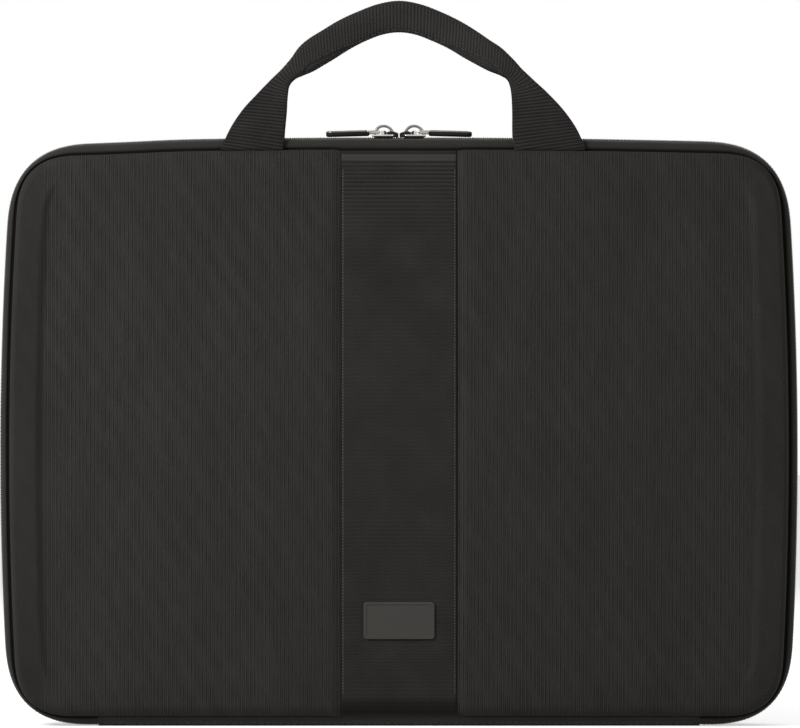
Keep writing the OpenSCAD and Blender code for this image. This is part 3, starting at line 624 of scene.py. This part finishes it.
for side, body in HALVES.items():
    form = Form()
    rings = np.array([open_line(n, y, SEAM_DIP * min(max(n - 3.5, 0) / 2, 1)) for n, y in section])
    rings = rings.transpose(1, 0, 2)
    puff = 0.07 * noise(rings, 14, 8)
    outwards = unit(rings - rings.mean(axis=1, keepdims=True))
    weight = np.zeros(len(section))
    weight[PUFFED] = 1
    rings = rings + outwards * (puff * weight)[..., None]
    form.grid(rings, uv=columns(np.arange(len(section)), arc(rings[:, 12])[:, None]))
    # The valley's floor is a near-black strip in the zip tape's colour: painted shade in the seam's groove
    valley = [open_line(n, y, SEAM_DIP) for n, y in ((5.3, SEAM_Y - 1.3), (SEAM_N + 1.2, SEAM_Y - 1.7))]
    form.grid((np.array(valley) + [0, 0.04, 0]).transpose(1, 0, 2), wrap=False, caps=False, slot=2)
    out = -inward[2:-2]
    stitches(form, open_line(1.02, BAND_GAP + 2.4)[2:-2] + out * 0.08, out)
    band = form.put(side + "_band", "band thread tape", body, "band_fabric", side + "_gusset", 70)

    form = Form()
    form.grid(open_rows([(TAPE_N, TAPE_START), (TAPE_N, TAPE_START + TAPE_W), (TAPE_END, TAPE_START + TAPE_W),
                         (TAPE_END, TAPE_START)]))
    form.put(side + "_tape", "tape", body, "zip_tape", side + "_zipper_tape", 30)

    # Each tooth is one loop of the coil: up from the tape, over, and down behind its head
    form = Form()
    loop = [[2.95, 1.9], [2.75, 0.75], [2.1, 0.28], [1.2, 0.28], [0.62, 0.42], [0.5, 1.1], [0.75, 1.75]]
    loop = smooth(loop, 2)
    girth = np.interp(np.arange(len(loop)), [0, 6, 8, 10, 12], [0.42, 0.46, 0.6, 0.52, 0.4])[:, None, None]
    ring = oval(1, 1, 6) * [0.82, 1]
    shift = 0.5 if side == "rear" else 0.0
    for i in range(int(arc(coil_path)[-1] / TOOTH_PITCH) - 1):
        s = (i + 0.75 + shift) * TOOTH_PITCH
        base, ahead = resample(coil_path, [s, s + 0.5])
        ahead = unit(ahead - base)
        down = np.cross(ahead, [0, 1, 0])
        if down @ np.array([base[0], 0, base[2] - WIDE_LEVEL]) > 0:
            down = -down
        path = base + loop[:, :1] * [0, 1, 0] + (loop[:, 1:] - 0.28) * down
        b = np.cross(unit(np.gradient(path, axis=0)), ahead)
        form.grid(path[:, None] + girth * (ring[:, :1] * ahead + ring[:, 1:] * b[:, None]))
    # The sewn edge of the tape under the coil
    bed = [(TAPE_N - 0.9, 1.0), (TAPE_N - 0.9, 2.9), (TAPE_N - 0.1, 3.2), (TAPE_N - 0.1, 0.7)]
    form.grid(open_rows(bed), slot=1)
    form.put(side + "_coil", "coil tape", body, "zip_teeth", side + "_zipper_teeth")

    # Binding tape over the inner seam
    form = Form()
    start = SEAM_N + 3 + SEWN_GAP * 2
    deep = 2.0 * SEAM_N / SEAM_SIDE
    rows = [band_ring(start + deep * (0.5 + a), SEAM_Y - 1.1 + 1.8 * b) for a, b in oval(0.5, 0.5, 14, 3.2)]
    rows = np.array(rows).transpose(1, 0, 2)
    rows = np.concatenate([rows, rows[:1]])
    form.grid(rows, caps=False, uv=columns(np.arange(14) * 0.4, arc(rows[:, 0])[:, None]))
    form.put(side + "_binding", "binding", body, "binding", side + "_seam_binding")

# Hinge strip: a wide fabric fold with a piped edge along each seam
half_length = bow(np.array([STRIP_END, 0.0, 0.0]))[0] + 0.15
edge, foot = SEAM_Y - RUN_GAP, 12.5
rim_z = SEAM_BOTTOM - 0.3
outside = smooth([[edge, rim_z], [edge - 0.25, 3.4], [edge - 0.9, 1.7], [foot + 1.6, 0.45], [foot, 0.0]], 4)
inside = [[foot - 0.3, 2.2], [edge - 2.4, 3.4], [edge - 1.8, rim_z]]
right = np.concatenate([inside, outside])
whole = np.concatenate([right, (right * [-1, 1])[::-1]])
xs = np.linspace(-half_length, half_length, 140)
points = columns(xs[:, None], whole[:, 0], whole[:, 1])
# Both edges rise where the shells' seams do, the front one up to the channel's floor
rising = whole[:, 1] > 4
lift = np.where(whole[rising, 0] < 0, CHANNEL, CHANNEL / 2)
points[:, rising, 2] += lift * channel(xs)[:, None]
form = Form()
form.grid(points, uv=points[..., :2])
for sign in (-1, 1):
    row = columns(np.linspace(-half_length + 3, half_length - 3, 60), sign * (edge - 0.95), 1.62)
    stitches(form, row, [0, sign * 0.75, -0.66])
strip = form.make("hinge_cloth_strip", "hinge thread", flat_angle=40)
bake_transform(strip)
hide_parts("hinge_strip")


# ---- stripe and patch

RIB = 2.15


def stripe_form():
    """The sewn webbing over the channel's floor, and its middle line with the normals."""
    line = floor_line[2:-2, 1:]
    fine = resample(line, np.arange(0, arc(line)[-1], RIB / 7))
    t = unit(np.gradient(fine, axis=0))
    normal = np.c_[-t[:, 1], t[:, 0]]
    s = arc(fine)
    across = np.r_[-0.5, np.linspace(-0.494, -0.45, 5), np.linspace(-0.43, 0.43, 17),
                   np.linspace(0.45, 0.494, 5), 0.5] * STRIPE_W
    rib = np.clip((0.5 - 0.5 * np.cos(2 * math.pi * s / RIB)) * 1.5, 0, 1) ** 0.8
    past = np.abs(across) - STRIPE_W / 2
    body = 1 - np.clip((past + 1.6) / 0.5, 0, 1)
    rise = STRIPE_T - 0.1 * (1 - rib[:, None]) * body - 0.05
    rise -= 0.28 * np.clip((past + 0.7) / 0.7, 0, 1) ** 2
    # Both ends go down into the seams
    rise *= (0.25 + 0.75 * np.clip(np.minimum(s, s[-1] - s) / 2.6, 0, 1) ** 0.6)[:, None]
    lift = np.pad(rise, ((0, 0), (1, 1))) + SEWN_GAP / 2
    points = columns(np.pad(across, 1, "edge"), fine[:, None, 0] + lift * normal[:, None, 0],
                     fine[:, None, 1] + lift * normal[:, None, 1])
    form = Form()
    form.grid(points, uv=columns(points[..., 0], s[:, None]))
    part = slice(40, len(s) - 40)
    for sign in (-1, 1):
        edge_line = np.c_[np.full(len(s), sign * (STRIPE_W / 2 - 0.75)), fine + normal * (STRIPE_T + 0.02)]
        up = np.c_[np.zeros(len(s)), normal]
        stitches(form, edge_line[part][::4], up[part][::4], length=1.0, gap=0.6, radius=0.22)
    return form, fine, normal


form, stripe_line, stripe_normal = stripe_form()
form.put("stripe_webbing", "stripe light_thread", "lid", "stripe_webbing", "center_stripe", 70)


def plate(name, outlines, thickness, bevel, material, transform, steps=2):
    """A flat piece with rounded edges and holes, cut from outlines in its own plane."""
    curve = bpy.data.curves.new(name, "CURVE")
    curve.dimensions, curve.fill_mode = "2D", "BOTH"
    curve.extrude, curve.bevel_depth, curve.bevel_resolution = thickness / 2 - bevel, bevel, steps
    curve.offset = -bevel
    for outline in outlines:
        spline = curve.splines.new("POLY")
        spline.points.add(len(outline) - 1)
        for point, (x, y) in zip(spline.points, outline):
            point.co = (x, y, 0, 1)
        spline.use_cyclic_u = True
    source = bpy.data.objects.new(name + "_curve", curve)
    scene.collection.objects.link(source)
    graph = bpy.context.evaluated_depsgraph_get()
    mesh = bpy.data.meshes.new_from_object(source.evaluated_get(graph))
    bpy.data.objects.remove(source)
    mesh.name = name
    points = np.array([v.co for v in mesh.vertices], float)
    mesh.vertices.foreach_set("co", (transform(points) * 0.001).ravel())
    # Faces are turned outwards again after a mirrored transform
    turned = bmesh.new()
    turned.from_mesh(mesh)
    bmesh.ops.recalc_face_normals(turned, faces=turned.faces)
    turned.to_mesh(mesh)
    turned.free()
    mesh.materials.clear()
    mesh.materials.append(M[material])
    return new_object(name, mesh, 50)


def join(target, *others):
    """Joins meshes into the first one, keeping their materials."""
    bpy.ops.object.select_all(action="DESELECT")
    for o in (target, *others):
        o.select_set(True)
    bpy.context.view_layer.objects.active = target
    bpy.ops.object.join()
    return target


def round_rect(w, h, r, n=8):
    out = []
    for start, x, y in ((0, 1, 1), (90, -1, 1), (180, -1, -1), (270, 1, -1)):
        for k in range(n + 1):
            a = math.radians(start + 90 * k / n)
            out.append((x * (w / 2 - r) + r * math.cos(a), y * (h / 2 - r) + r * math.sin(a)))
    return out


PATCH_W, PATCH_H, PATCH_T, PATCH_LEVEL, PATCH_RIM = 38.0, 20.0, 0.9, 57.0, 1.6
high = stripe_line + stripe_normal * (SEWN_GAP / 2 + STRIPE_T)
y0, y1 = (np.interp(PATCH_LEVEL + d * PATCH_H / 2, high[::-1, 1], high[::-1, 0]) for d in (-1, 1))
patch_y, patch_slope = (y0 + y1) / 2, math.atan((y1 - y0) / PATCH_H)


def on_stripe(lift):
    def transform(p):
        c, s = math.cos(patch_slope), math.sin(patch_slope)
        z, out = p[:, 1], p[:, 2] + lift
        return columns(p[:, 0], -(patch_y + SEWN_GAP / 2 + out * c + z * s), PATCH_LEVEL + z * c - out * s)
    return transform


field_w, field_h, FIELD_T = PATCH_W - 2 * PATCH_RIM, PATCH_H - 2 * PATCH_RIM, PATCH_T - 0.3
rim = plate("patch_rim", [round_rect(PATCH_W, PATCH_H, 2), round_rect(field_w, field_h, 1.2)],
            PATCH_T, 0.2, "patch", on_stripe(PATCH_T / 2))
field = plate("patch_field", [round_rect(field_w + 0.5, field_h + 0.5, 1.4)],
              FIELD_T, 0.12, "patch", on_stripe(FIELD_T / 2))
place(join(rim, field), "lid", "label_patch")


# ---- handles

LEG_W, LEG_X, HANDLE_RISE, GRIP_W, GRIP_T, NECK_W, LEG_T = 35.0, 78.0, 80.6, 17.0, 8.0, 8.8, 2.0
LEG_BASE = CASE_H - SEAM_TOP + 1.2
GRIP_MIDDLE = HANDLE_RISE - 1.2 - GRIP_W / 2
LEG_Y, GRIP_Y = SEAM_Y + 1.4, GRIP_T / 2 + 0.5
# x and height as shares, width, thickness, turn, and how far the strap is folded over
HANDLE = [[1.01, 0, LEG_W * 0.946, LEG_T, 0, 0], [0.976, 0.14, LEG_W * 0.826, LEG_T, 2, 0],
          [0.927, 0.28, LEG_W * 0.666, LEG_T * 1.05, 3, 0.05],
          [0.871, 0.405, LEG_W * 0.453, LEG_T * 1.2, 5, 0.2],
          [0.823, 0.495, NECK_W * 1.2, LEG_T * 1.6, 12, 0.5], [0.766, 0.56, NECK_W, GRIP_T * 0.6, 30, 0.8],
          [0.706, 0.614, (NECK_W + GRIP_W) * 0.42, GRIP_T * 0.8, 50, 1],
          [0.641, 0.676, GRIP_W * 0.87, GRIP_T * 0.95, 59, 1],
          [0.574, 0.729, GRIP_W * 0.95, GRIP_T, 61, 1], [0.482, 0.791, GRIP_W * 0.97, GRIP_T, 66, 1],
          [0.377, 0.862, GRIP_W * 0.97, GRIP_T, 69, 1], [0.258, 0.926, GRIP_W * 0.96, GRIP_T, 75, 1],
          [0.129, 0.979, GRIP_W * 0.98, GRIP_T, 83, 1], [0, 1, GRIP_W, GRIP_T, 90, 1]]
HANDLE_RIB = 1.87
# The right leg is sewn in further out and less folded: shift and extra width, row by row
RIGHT_SHIFT = [2.05, 2.1, 2.35, 2.35, 1.95, 2.6, 3.0, 1.5, 0.4, 0.5, 0.3, 0, 0, 0]
RIGHT_WIDER = [5.1, 5.0, 3.7, 3.3, 2.3, 0.8, 0, -0.9, -1.4, -0.7, -0.5, 0, 0, 0]


def strap_half(right):
    """One half of the strap, from its foot to the middle: points, cloth coordinates and the stitch line."""
    table = np.array(HANDLE, float)
    if right:
        table[:, 0] += np.array(RIGHT_SHIFT) / LEG_X
        table[:, 2] += RIGHT_WIDER
    # The row past the middle mirrors the one before it, so that both halves meet smoothly
    past = table[-2] * [-1, 1, 1, 1, -1, 1] + [0, 0, 0, 0, 180, 0]
    half = smooth(np.concatenate([table, [past]]), 40)[:-40]
    up = half[:, 1]
    mid = np.c_[half[:, 0] * LEG_X, LEG_Y - (LEG_Y - GRIP_Y) * up, LEG_BASE + up * GRIP_MIDDLE]
    s = arc(mid)
    steps = np.arange(0, s[-1], HANDLE_RIB / 6)
    mid, half = resample(mid, steps), resample(half, steps, s)
    # The webbing goes on down into the seam
    tuck = np.array([[0, LEG_Y - LEG_T * 0.55, LEG_BASE - 2.4], [0, LEG_Y - LEG_T * 0.2, LEG_BASE - 1.6],
                     [0, LEG_Y, LEG_BASE - 0.8]])
    tuck[:, 0] = mid[0, 0]
    mid = np.concatenate([tuck, mid])
    half = np.concatenate([np.repeat(half[:1], 3, axis=0), half])
    s = arc(mid)
    angle = np.arange(44) * 2 * math.pi / 44
    c, sn = np.cos(angle), np.sin(angle)
    width, thick, turn, fold = half[:, 2], half[:, 3], np.radians(half[:, 4]), half[:, 5]
    power = 2 / (7 - 3.9 * fold)[:, None]
    qx = np.sign(c) * np.abs(c) ** power
    qy = np.sign(sn) * np.abs(sn) ** power
    wide = width[:, None] / 2 * qx
    # The ribs lean across the legs and stand upright over the grip's slopes
    lean = np.interp(s / s[-1], [0, 0.22], [0.18, 0.0]) * (1 - fold)
    lean += 0.85 * fold / np.maximum(np.tan(turn), 1.5)
    # Ribs are counted from the middle, where both halves meet
    count = s[:, None] - s[-1] + HANDLE_RIB / 2
    phase = count - lean[:, None] * wide
    # Under the fold the back layer's edge shows, its ribs slanting the other way
    ledge = np.interp(s / s[-1], [0, 0.45, 0.52, 0.66, 0.78], [0, 0, 3.8, 2.4, 0])[:, None]
    edge_in = wide + width[:, None] / 2 - ledge
    under = (edge_in < 0) & (ledge > 0.3)
    phase = np.where(under, count + 0.9 * wide + 0.8, phase)
    rib = np.clip((0.5 - 0.5 * np.cos(2 * math.pi * phase / HANDLE_RIB)) * 1.5, 0, 1)
    knot = np.exp(-((s / s[-1] - 0.5) / 0.035) ** 2)[:, None]
    rib = rib + (0.8 - rib) * 0.6 * knot
    flat = np.clip(1.25 - np.abs(qx) ** 6, 0, 1)
    crease = np.exp(-(edge_in / 0.7) ** 2) * np.clip(ledge - 0.3, 0, 1) * (ledge > 0.3)
    depth = thick[:, None] / 2 * qy - np.sign(qy) * (0.13 * (1 - rib) * flat + 0.55 * crease + 0.35 * under)
    # The fold's open edges meet along the grip's underside
    notch = np.exp(-((angle[None] - math.pi) / 0.16) ** 2) * fold[:, None]
    wide = wide + 1.5 * notch - np.sign(qx) * 0.1 * (1 - rib) * fold[:, None]
    points = columns(mid[:, None, 0] + wide * np.cos(turn)[:, None], mid[:, None, 1] + depth,
                     mid[:, None, 2] + wide * np.sin(turn)[:, None])
    seam = -width / 2 + ledge[:, 0] + 1.1
    lower = mid + columns(seam * np.cos(turn), 0, seam * np.sin(turn))
    keep = fold > 0.97
    return points, columns(wide, phase), lower[keep], 0.465 * thick[keep]


def both_halves(right, left, flip=1):
    """Joins rows that end at the strap's middle into one run."""
    return np.concatenate([right, left[:-1][::-1] * flip])


def handle_form():
    right, left = strap_half(True), strap_half(False)
    form = Form()
    form.grid(both_halves(right[0], left[0], MIRROR), uv=both_halves(right[1], left[1]))
    # A stitch line holds the fold along the grip, front and back
    for sign in (-1, 1):
        out = [half[2] + np.outer(half[3], [0, sign, 0]) for half in (right, left)]
        stitches(form, both_halves(*out, MIRROR)[::5], [0, sign, 0], length=2.8, gap=1.0, radius=0.22)
    return form


for side, body in HALVES.items():
    front = side == "front"
    handle = handle_form().make(side + "_handle_webbing", "webbing dark_thread", front, flat_angle=80)
    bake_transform(handle)
    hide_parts(side + "_handle")


# ---- sliders and pulls

CROWN_X, CROWN_R, CROWN_T, CROWN_W = 8.2, 5.8, 1.6, 3.0
PLATE_L, PLATE_W, PLATE_T = 12.4, 8.4, 1.15
PLATE_Z = CASE_H + RUN_GAP
CROWN_Z = PLATE_Z + PLATE_T - 0.2
PIN_X, PIN_Z, PIN_R = 2.8, CROWN_Z + 1.6, 0.6
PULL_L, PULL_W, PULL_T, PULL_FACE, DROOP = 28.4, 7.0, 3.3, 1.3, 1.5
EYE_L, CHEEK_T, CHEEK_Y = 5.4, 1.1, CROWN_W / 2 + RUN_GAP
NECK = CHEEK_Y + CHEEK_T


def mirrored(half):
    """A closed outline from its lower half."""
    return half + [(x, -y) for x, y in half[::-1]]


for name, sign in (("left", -1), ("right", 1)):
    left = sign < 0

    def at_slider(p):
        return columns(sign * (CROWN_X + p[:, 0]), p[:, 1], PLATE_Z + PLATE_T / 2 + p[:, 2])

    outline = mirrored([(-PLATE_L / 2, -1.6), (-PLATE_L / 2 + 1.2, -PLATE_W / 2 + 0.5),
                        (-PLATE_L / 2 + 2.6, -PLATE_W / 2), (PLATE_L / 2 - 1.6, -PLATE_W / 2 + 0.5),
                        (PLATE_L / 2, -PLATE_W / 2 + 1.5)])
    outline = smooth(outline, 4, closed=True)
    top = plate(name + "_slider_body", [outline], PLATE_T, 0.38, "nickel", at_slider, 3)
    form = Form()
    a = np.radians(np.linspace(0, 180, 33))
    bow_r = CROWN_R - CROWN_T / 2
    flare = 1 + 0.35 * np.abs(np.cos(a)) ** 6
    arch = columns(CROWN_X + bow_r * np.cos(a), 0, CROWN_Z - 0.1 + (bow_r + 0.02) * np.sin(a))
    ring = oval(CROWN_T / 2, CROWN_W / 2, 14, 2.6)
    sweep(form, arch, ring * columns(1, flare)[:, None], (0, 1, 0))
    lip_y = 0.4 + 2.5 + RUN_GAP
    y, z = np.array([(lip_y, -2.2), (lip_y + 0.8, -2.2), (lip_y + 0.8, 0.5), (lip_y, 0.5)]).T
    x = np.linspace(-PLATE_L / 2 + 1, PLATE_L / 2 - 1, 9)[:, None]
    form.grid(columns(CROWN_X + x, y, PLATE_Z + z))
    # The lock's housing under the crown, nickel on the pull's side and black on the nose's side, the black a
    # painted dark reflection of the metal there
    x, z = np.array([(-1.5, 0), (1.5, 0), (1.5, 2.0), (1.1, 2.4), (-0.2, 2.4), (-1.5, 1.6)]).T
    y = np.array([-1.4, -1.15, 1.15, 1.4])[:, None]
    for x0, x1, slot in ((-0.2, 1.5, 1), (-1.5, -0.2, 2)):
        rows = columns(CROWN_X + np.clip(x, x0, x1), y, CROWN_Z + 0.1 + z)
        rows[[0, -1], :, 2] -= 0.12
        form.grid(rows, slot=slot)
    # The slider's black nose rises from the plate and reaches to the middle of the case
    end = -PLATE_L / 2 - 1.7
    nose = [(end, -0.4), (-1.6, 0.2), (-1.6, 1.9), (-3.2, 2.4), (-5.2, 2.3), (end + 1, 1.8), (end, 1.3)]
    x, z = np.array(nose).T
    y = np.array([-2.9, -1.9, 1.9, 2.9])[:, None]
    rows = columns(CROWN_X + x, y * (1 - 0.3 * (x < -6)), PLATE_Z + z + 0.6 * (abs(y) < 2) * (z > 1))
    form.grid(rows, slot=2)
    crown = form.make(name + "_crown", "satin nickel black", left=left, flat_angle=40)
    place(join(top, crown), name + "_slider", name + "_slider")

    # Pull: clevis cheeks on a pin, a waisted neck and a long tab with a hole
    c, s = math.cos(math.radians(DROOP)), math.sin(math.radians(DROOP))

    def at_pull(p):
        x, z = p[:, 0] * c + p[:, 2] * s, -p[:, 0] * s + p[:, 2] * c
        return columns(sign * (CROWN_X + PIN_X + x), p[:, 1], PIN_Z + z)

    tab = mirrored([(EYE_L - 0.4, -NECK), (EYE_L + 1.6, -NECK), (EYE_L + 3.2, -PULL_W / 2)])
    tab[3:3] = [(PULL_L - PULL_W / 2 + PULL_W / 2 * math.cos(q), PULL_W / 2 * math.sin(q))
                for q in np.radians(np.linspace(-90, 90, 21))]
    hole = [(PULL_L - PULL_W * 0.85 + PULL_W * 0.18 * math.cos(q), PULL_W * 0.18 * math.sin(q))
            for q in np.radians(np.linspace(0, 345, 24))]
    middle = PULL_FACE - PULL_T / 2
    blade = plate(name + "_pull_tab", [tab, hole], PULL_T, 1.1, "black",
                  lambda p: at_pull(p + [0, 0, middle]), 5)
    # Faces turned upwards get the bright satin metal and the rest stays black: a painted reflection of the
    # light from above along the tab's top
    blade.data.materials.append(M["satin"])
    for face in blade.data.polygons:
        if face.normal.z > 0.35:
            face.material_index = 1
    cheeks = []
    for q in (-1, 1):
        shape = [(-0.98 * math.cos(w), 0.98 * math.sin(w)) for w in np.radians(np.linspace(90, -90, 15))]
        shape += [(2.2, -0.98), (EYE_L + 0.6, -1.1), (EYE_L + 0.6, 1.1), (2.2, 0.98)]
        side_y = q * (CHEEK_Y + CHEEK_T / 2)
        cheeks.append(plate(f"{name}_cheek_{q + 1}", [shape], CHEEK_T, 0.25, "clevis",
                            lambda p: at_pull(columns(p[:, 0], side_y + p[:, 2], p[:, 1]))))
    form = Form()
    pin = columns(CROWN_X + PIN_X, np.linspace(-NECK - 0.15, NECK + 0.15, 7), PIN_Z)
    sizes = np.array([0.6, 0.95, 1, 1, 1, 0.95, 0.6])[:, None, None]
    sweep(form, pin, oval(PIN_R, PIN_R, 14) * sizes, (0, 0, 1))
    axle = form.make(name + "_pin", "nickel", left=left)
    place(join(blade, *cheeks, axle), name + "_pull", name + "_pull")


# ---- inside: straps and pocket

STRAP_W, STRAP_REACH, STRAP_CORD = 25.0, 84.0, 2.5


def strap_form(sx, top):
    """An elastic strap across one corner, its ends cut along the seam."""
    outline = band_ring(SEAM_N + 3.6)[:, [0, 2]]
    corner = np.array([sx * HALF_W, CASE_H if top else 0.0])
    inwards = np.array([-sx, -1 if top else 1]) / math.sqrt(2)
    along = np.array([inwards[1], -inwards[0]])
    middle = corner + inwards * STRAP_REACH * math.sqrt(0.5)
    e = np.roll(outline, -1, axis=0) - outline
    den = along[0] * e[:, 1] - along[1] * e[:, 0]
    den[np.abs(den) < 1e-9] = 1e-9
    across = np.linspace(-STRAP_W / 2, STRAP_W / 2, 41)
    rows = []
    for w in across:
        start = middle + inwards * w
        d = outline - start
        t = (d[:, 0] * e[:, 1] - d[:, 1] * e[:, 0]) / den
        u = (d[:, 0] * along[1] - d[:, 1] * along[0]) / den
        t = t[(u >= 0) & (u <= 1)]
        rows.append(np.linspace(start + along * t[t < 0].max(), start + along * t[t > 0].min(), 60))
    x, z = np.array(rows).transpose(2, 0, 1)
    cord = 0.5 + 0.5 * np.cos(2 * math.pi * across / STRAP_CORD)[:, None]
    pucker = 0.5 + 0.5 * np.cos(np.arange(60) / 60 * 2 * math.pi * 22)
    top_y = SEAM_Y - 2 - SEWN_GAP
    y = top_y - 1.3 + 0.18 * (1 - cord) + 0.1 * pucker
    y[[0, -1]] = top_y - 0.9
    closed = np.concatenate([columns(x, y, z), columns(x, top_y, z)[::-1]])
    uv = columns(np.arange(82)[:, None] * 0.6, np.arange(60) * 1.7)
    form = Form()
    form.grid(closed.transpose(1, 0, 2), uv=uv.transpose(1, 0, 2))
    return form


for sx, across in ((-1, "left"), (1, "right")):
    for top, level in ((True, "top"), (False, "bottom")):
        where = f"{level}_{across}"
        strap = strap_form(sx, top)
        strap.put("strap_" + where, "elastic", "rear_half", "elastic", "corner_strap_" + where, 60)

POCKET_H, POCKET_T, HEM_W = 170.0, 1.2, 14.0
pocket_y = SEAM_Y + PANEL_RISE - WALL - LINING_T - SEWN_GAP * 2
pocket_half = HALF_W - (MARGIN_END + STEP_W + SEAM_SIDE + WALL + LINING_T + 10)
pocket_foot = SEAM_BOTTOM + BOTTOM_ROUND + 6 + WALL + LINING_T + 3

U, V = np.meshgrid(np.linspace(-1, 1, 90), np.linspace(0, 1, 50))
ripple = 0.35 * np.sin(U * 9 + 1.3 * np.sin(V * 4)) * V ** 1.5 * (1 - U ** 8)
sheet = columns(U * pocket_half, pocket_y - POCKET_T + 0.25 + ripple * 0.6, pocket_foot + V * POCKET_H)
under = sheet.copy()
under[..., 1] = np.maximum(pocket_y - 0.05, sheet[..., 1] + 0.3)
cut = np.concatenate([sheet, under[:, ::-1]], axis=1)
form = Form()
form.grid(cut, uv=cut[..., [0, 2]])
stitch_y = pocket_y - POCKET_T + 0.22
sides = np.linspace(pocket_foot + 4, pocket_foot + POCKET_H - 20, 40)
foot_x = np.linspace(-pocket_half + 4, pocket_half - 4, 80)
for x, z in ((3 - pocket_half, sides), (pocket_half - 3, sides), (foot_x, pocket_foot + 3)):
    stitches(form, columns(x, stitch_y, z), [0, -1, 0])
pocket = form.put("pocket_sheet", "pocket thread", "lid", "lining_fabric", "slip_pocket", 60)

hem_y = pocket_y - POCKET_T - SEWN_GAP - 0.8
ring = oval(HEM_W / 2, 0.42, 16, 4.0)
xs = np.linspace(-pocket_half, pocket_half, 130)
hem_z = pocket_foot + POCKET_H - HEM_W / 2
centre = columns(xs, hem_y + 0.4 + 0.05 * np.sin(xs * 0.9), hem_z)
form = Form()
sweep(form, centre, ring[:, ::-1], (0, 0, 1))
for dz in (-HEM_W / 2 + 1.6, HEM_W / 2 - 1.6):
    stitches(form, (centre + [0, -0.42, dz])[2:-2], [0, -1, 0])
form.put("pocket_hem_fold", "binding thread", "lid", "binding", "pocket_hem", 60)


# ---- floor, light and camera

scene.view_settings.view_transform = "Standard"

ground = Nodes("pale_floor")
M["floor"] = ground.owner
paint = ground.feed(ground.shader, {"Base Color": (0.86, 0.86, 0.86, 1), "Roughness": 0.8,
                                    "Specular IOR Level": 0.1})
glow = ground.new("ShaderNodeEmission", {"Strength": 0.5})
both = ground.new("ShaderNodeAddShader", {0: paint.outputs[0], 1: glow.outputs[0]})
ray = ground.new("ShaderNodeLightPath").outputs["Is Camera Ray"]
pick = ground.new("ShaderNodeMixShader", {0: ray, 1: paint.outputs[0], 2: both.outputs[0]})
ground.feed(ground.tree.nodes["Material Output"], {"Surface": pick.outputs[0]})
form = Form()
xs = np.linspace(-9000, 9000, 7)
form.grid(columns(xs[:, None], xs, -0.05)[:, ::-1], wrap=False, caps=False)
form.make("floor", "floor")

# The world lights the object at one level and is white where it is seen itself
studio = Nodes("studio", bpy.data.worlds.new("studio"))
scene.world = studio.owner
rays = studio.new("ShaderNodeLightPath").outputs
seen = studio.math("MAXIMUM", rays["Is Camera Ray"], rays["Is Glossy Ray"])
seen = studio.math("MAXIMUM", seen, rays["Is Transmission Ray"])
background = studio.tree.nodes["Background"]
studio.feed(background, {"Color": (1, 1, 1, 1), "Strength": studio.scaled(seen, 0.7, 0.3)})



def soft_box(name, place_at, look_at, size, white):
    """A square area light that lights a surface facing it at look_at to the level white."""
    light = bpy.data.lights.new(name, "AREA")
    light.shape, light.size = "SQUARE", size
    at, target = Vector(place_at), Vector(look_at)
    light.energy = white * math.pi ** 2 * (target - at).length_squared
    obj = bpy.data.objects.new(name, light)
    obj.location = at
    obj.rotation_mode = "QUATERNION"
    obj.rotation_quaternion = (target - at).to_track_quat("-Z", "Y")
    scene.collection.objects.link(obj)


middle = (0, 0, 0.17)
soft_box("key_light", (-0.95, -0.8, 0.95), middle, 0.5, 0.9)
soft_box("fill_light", (1.5, -0.7, 0.6), middle, 0.9, 0.14)
soft_box("back_light", (0.3, 1.5, 1.4), middle, 1.2, 0.3)

camera = bpy.data.objects.new("camera", bpy.data.cameras.new("camera"))
scene.collection.objects.link(camera)
scene.camera = camera
PIXEL, DISTANCE = 0.5395e-3, 4.0
camera.data.sensor_width = 36.0
camera.data.lens = 36.0 * DISTANCE / (800 * PIXEL)
camera.location = (0.54e-3, -DISTANCE, (724.5 - 364) * PIXEL)
camera.rotation_euler = (math.radians(90), 0, 0)
camera.data.clip_start, camera.data.clip_end = 0.1, 60
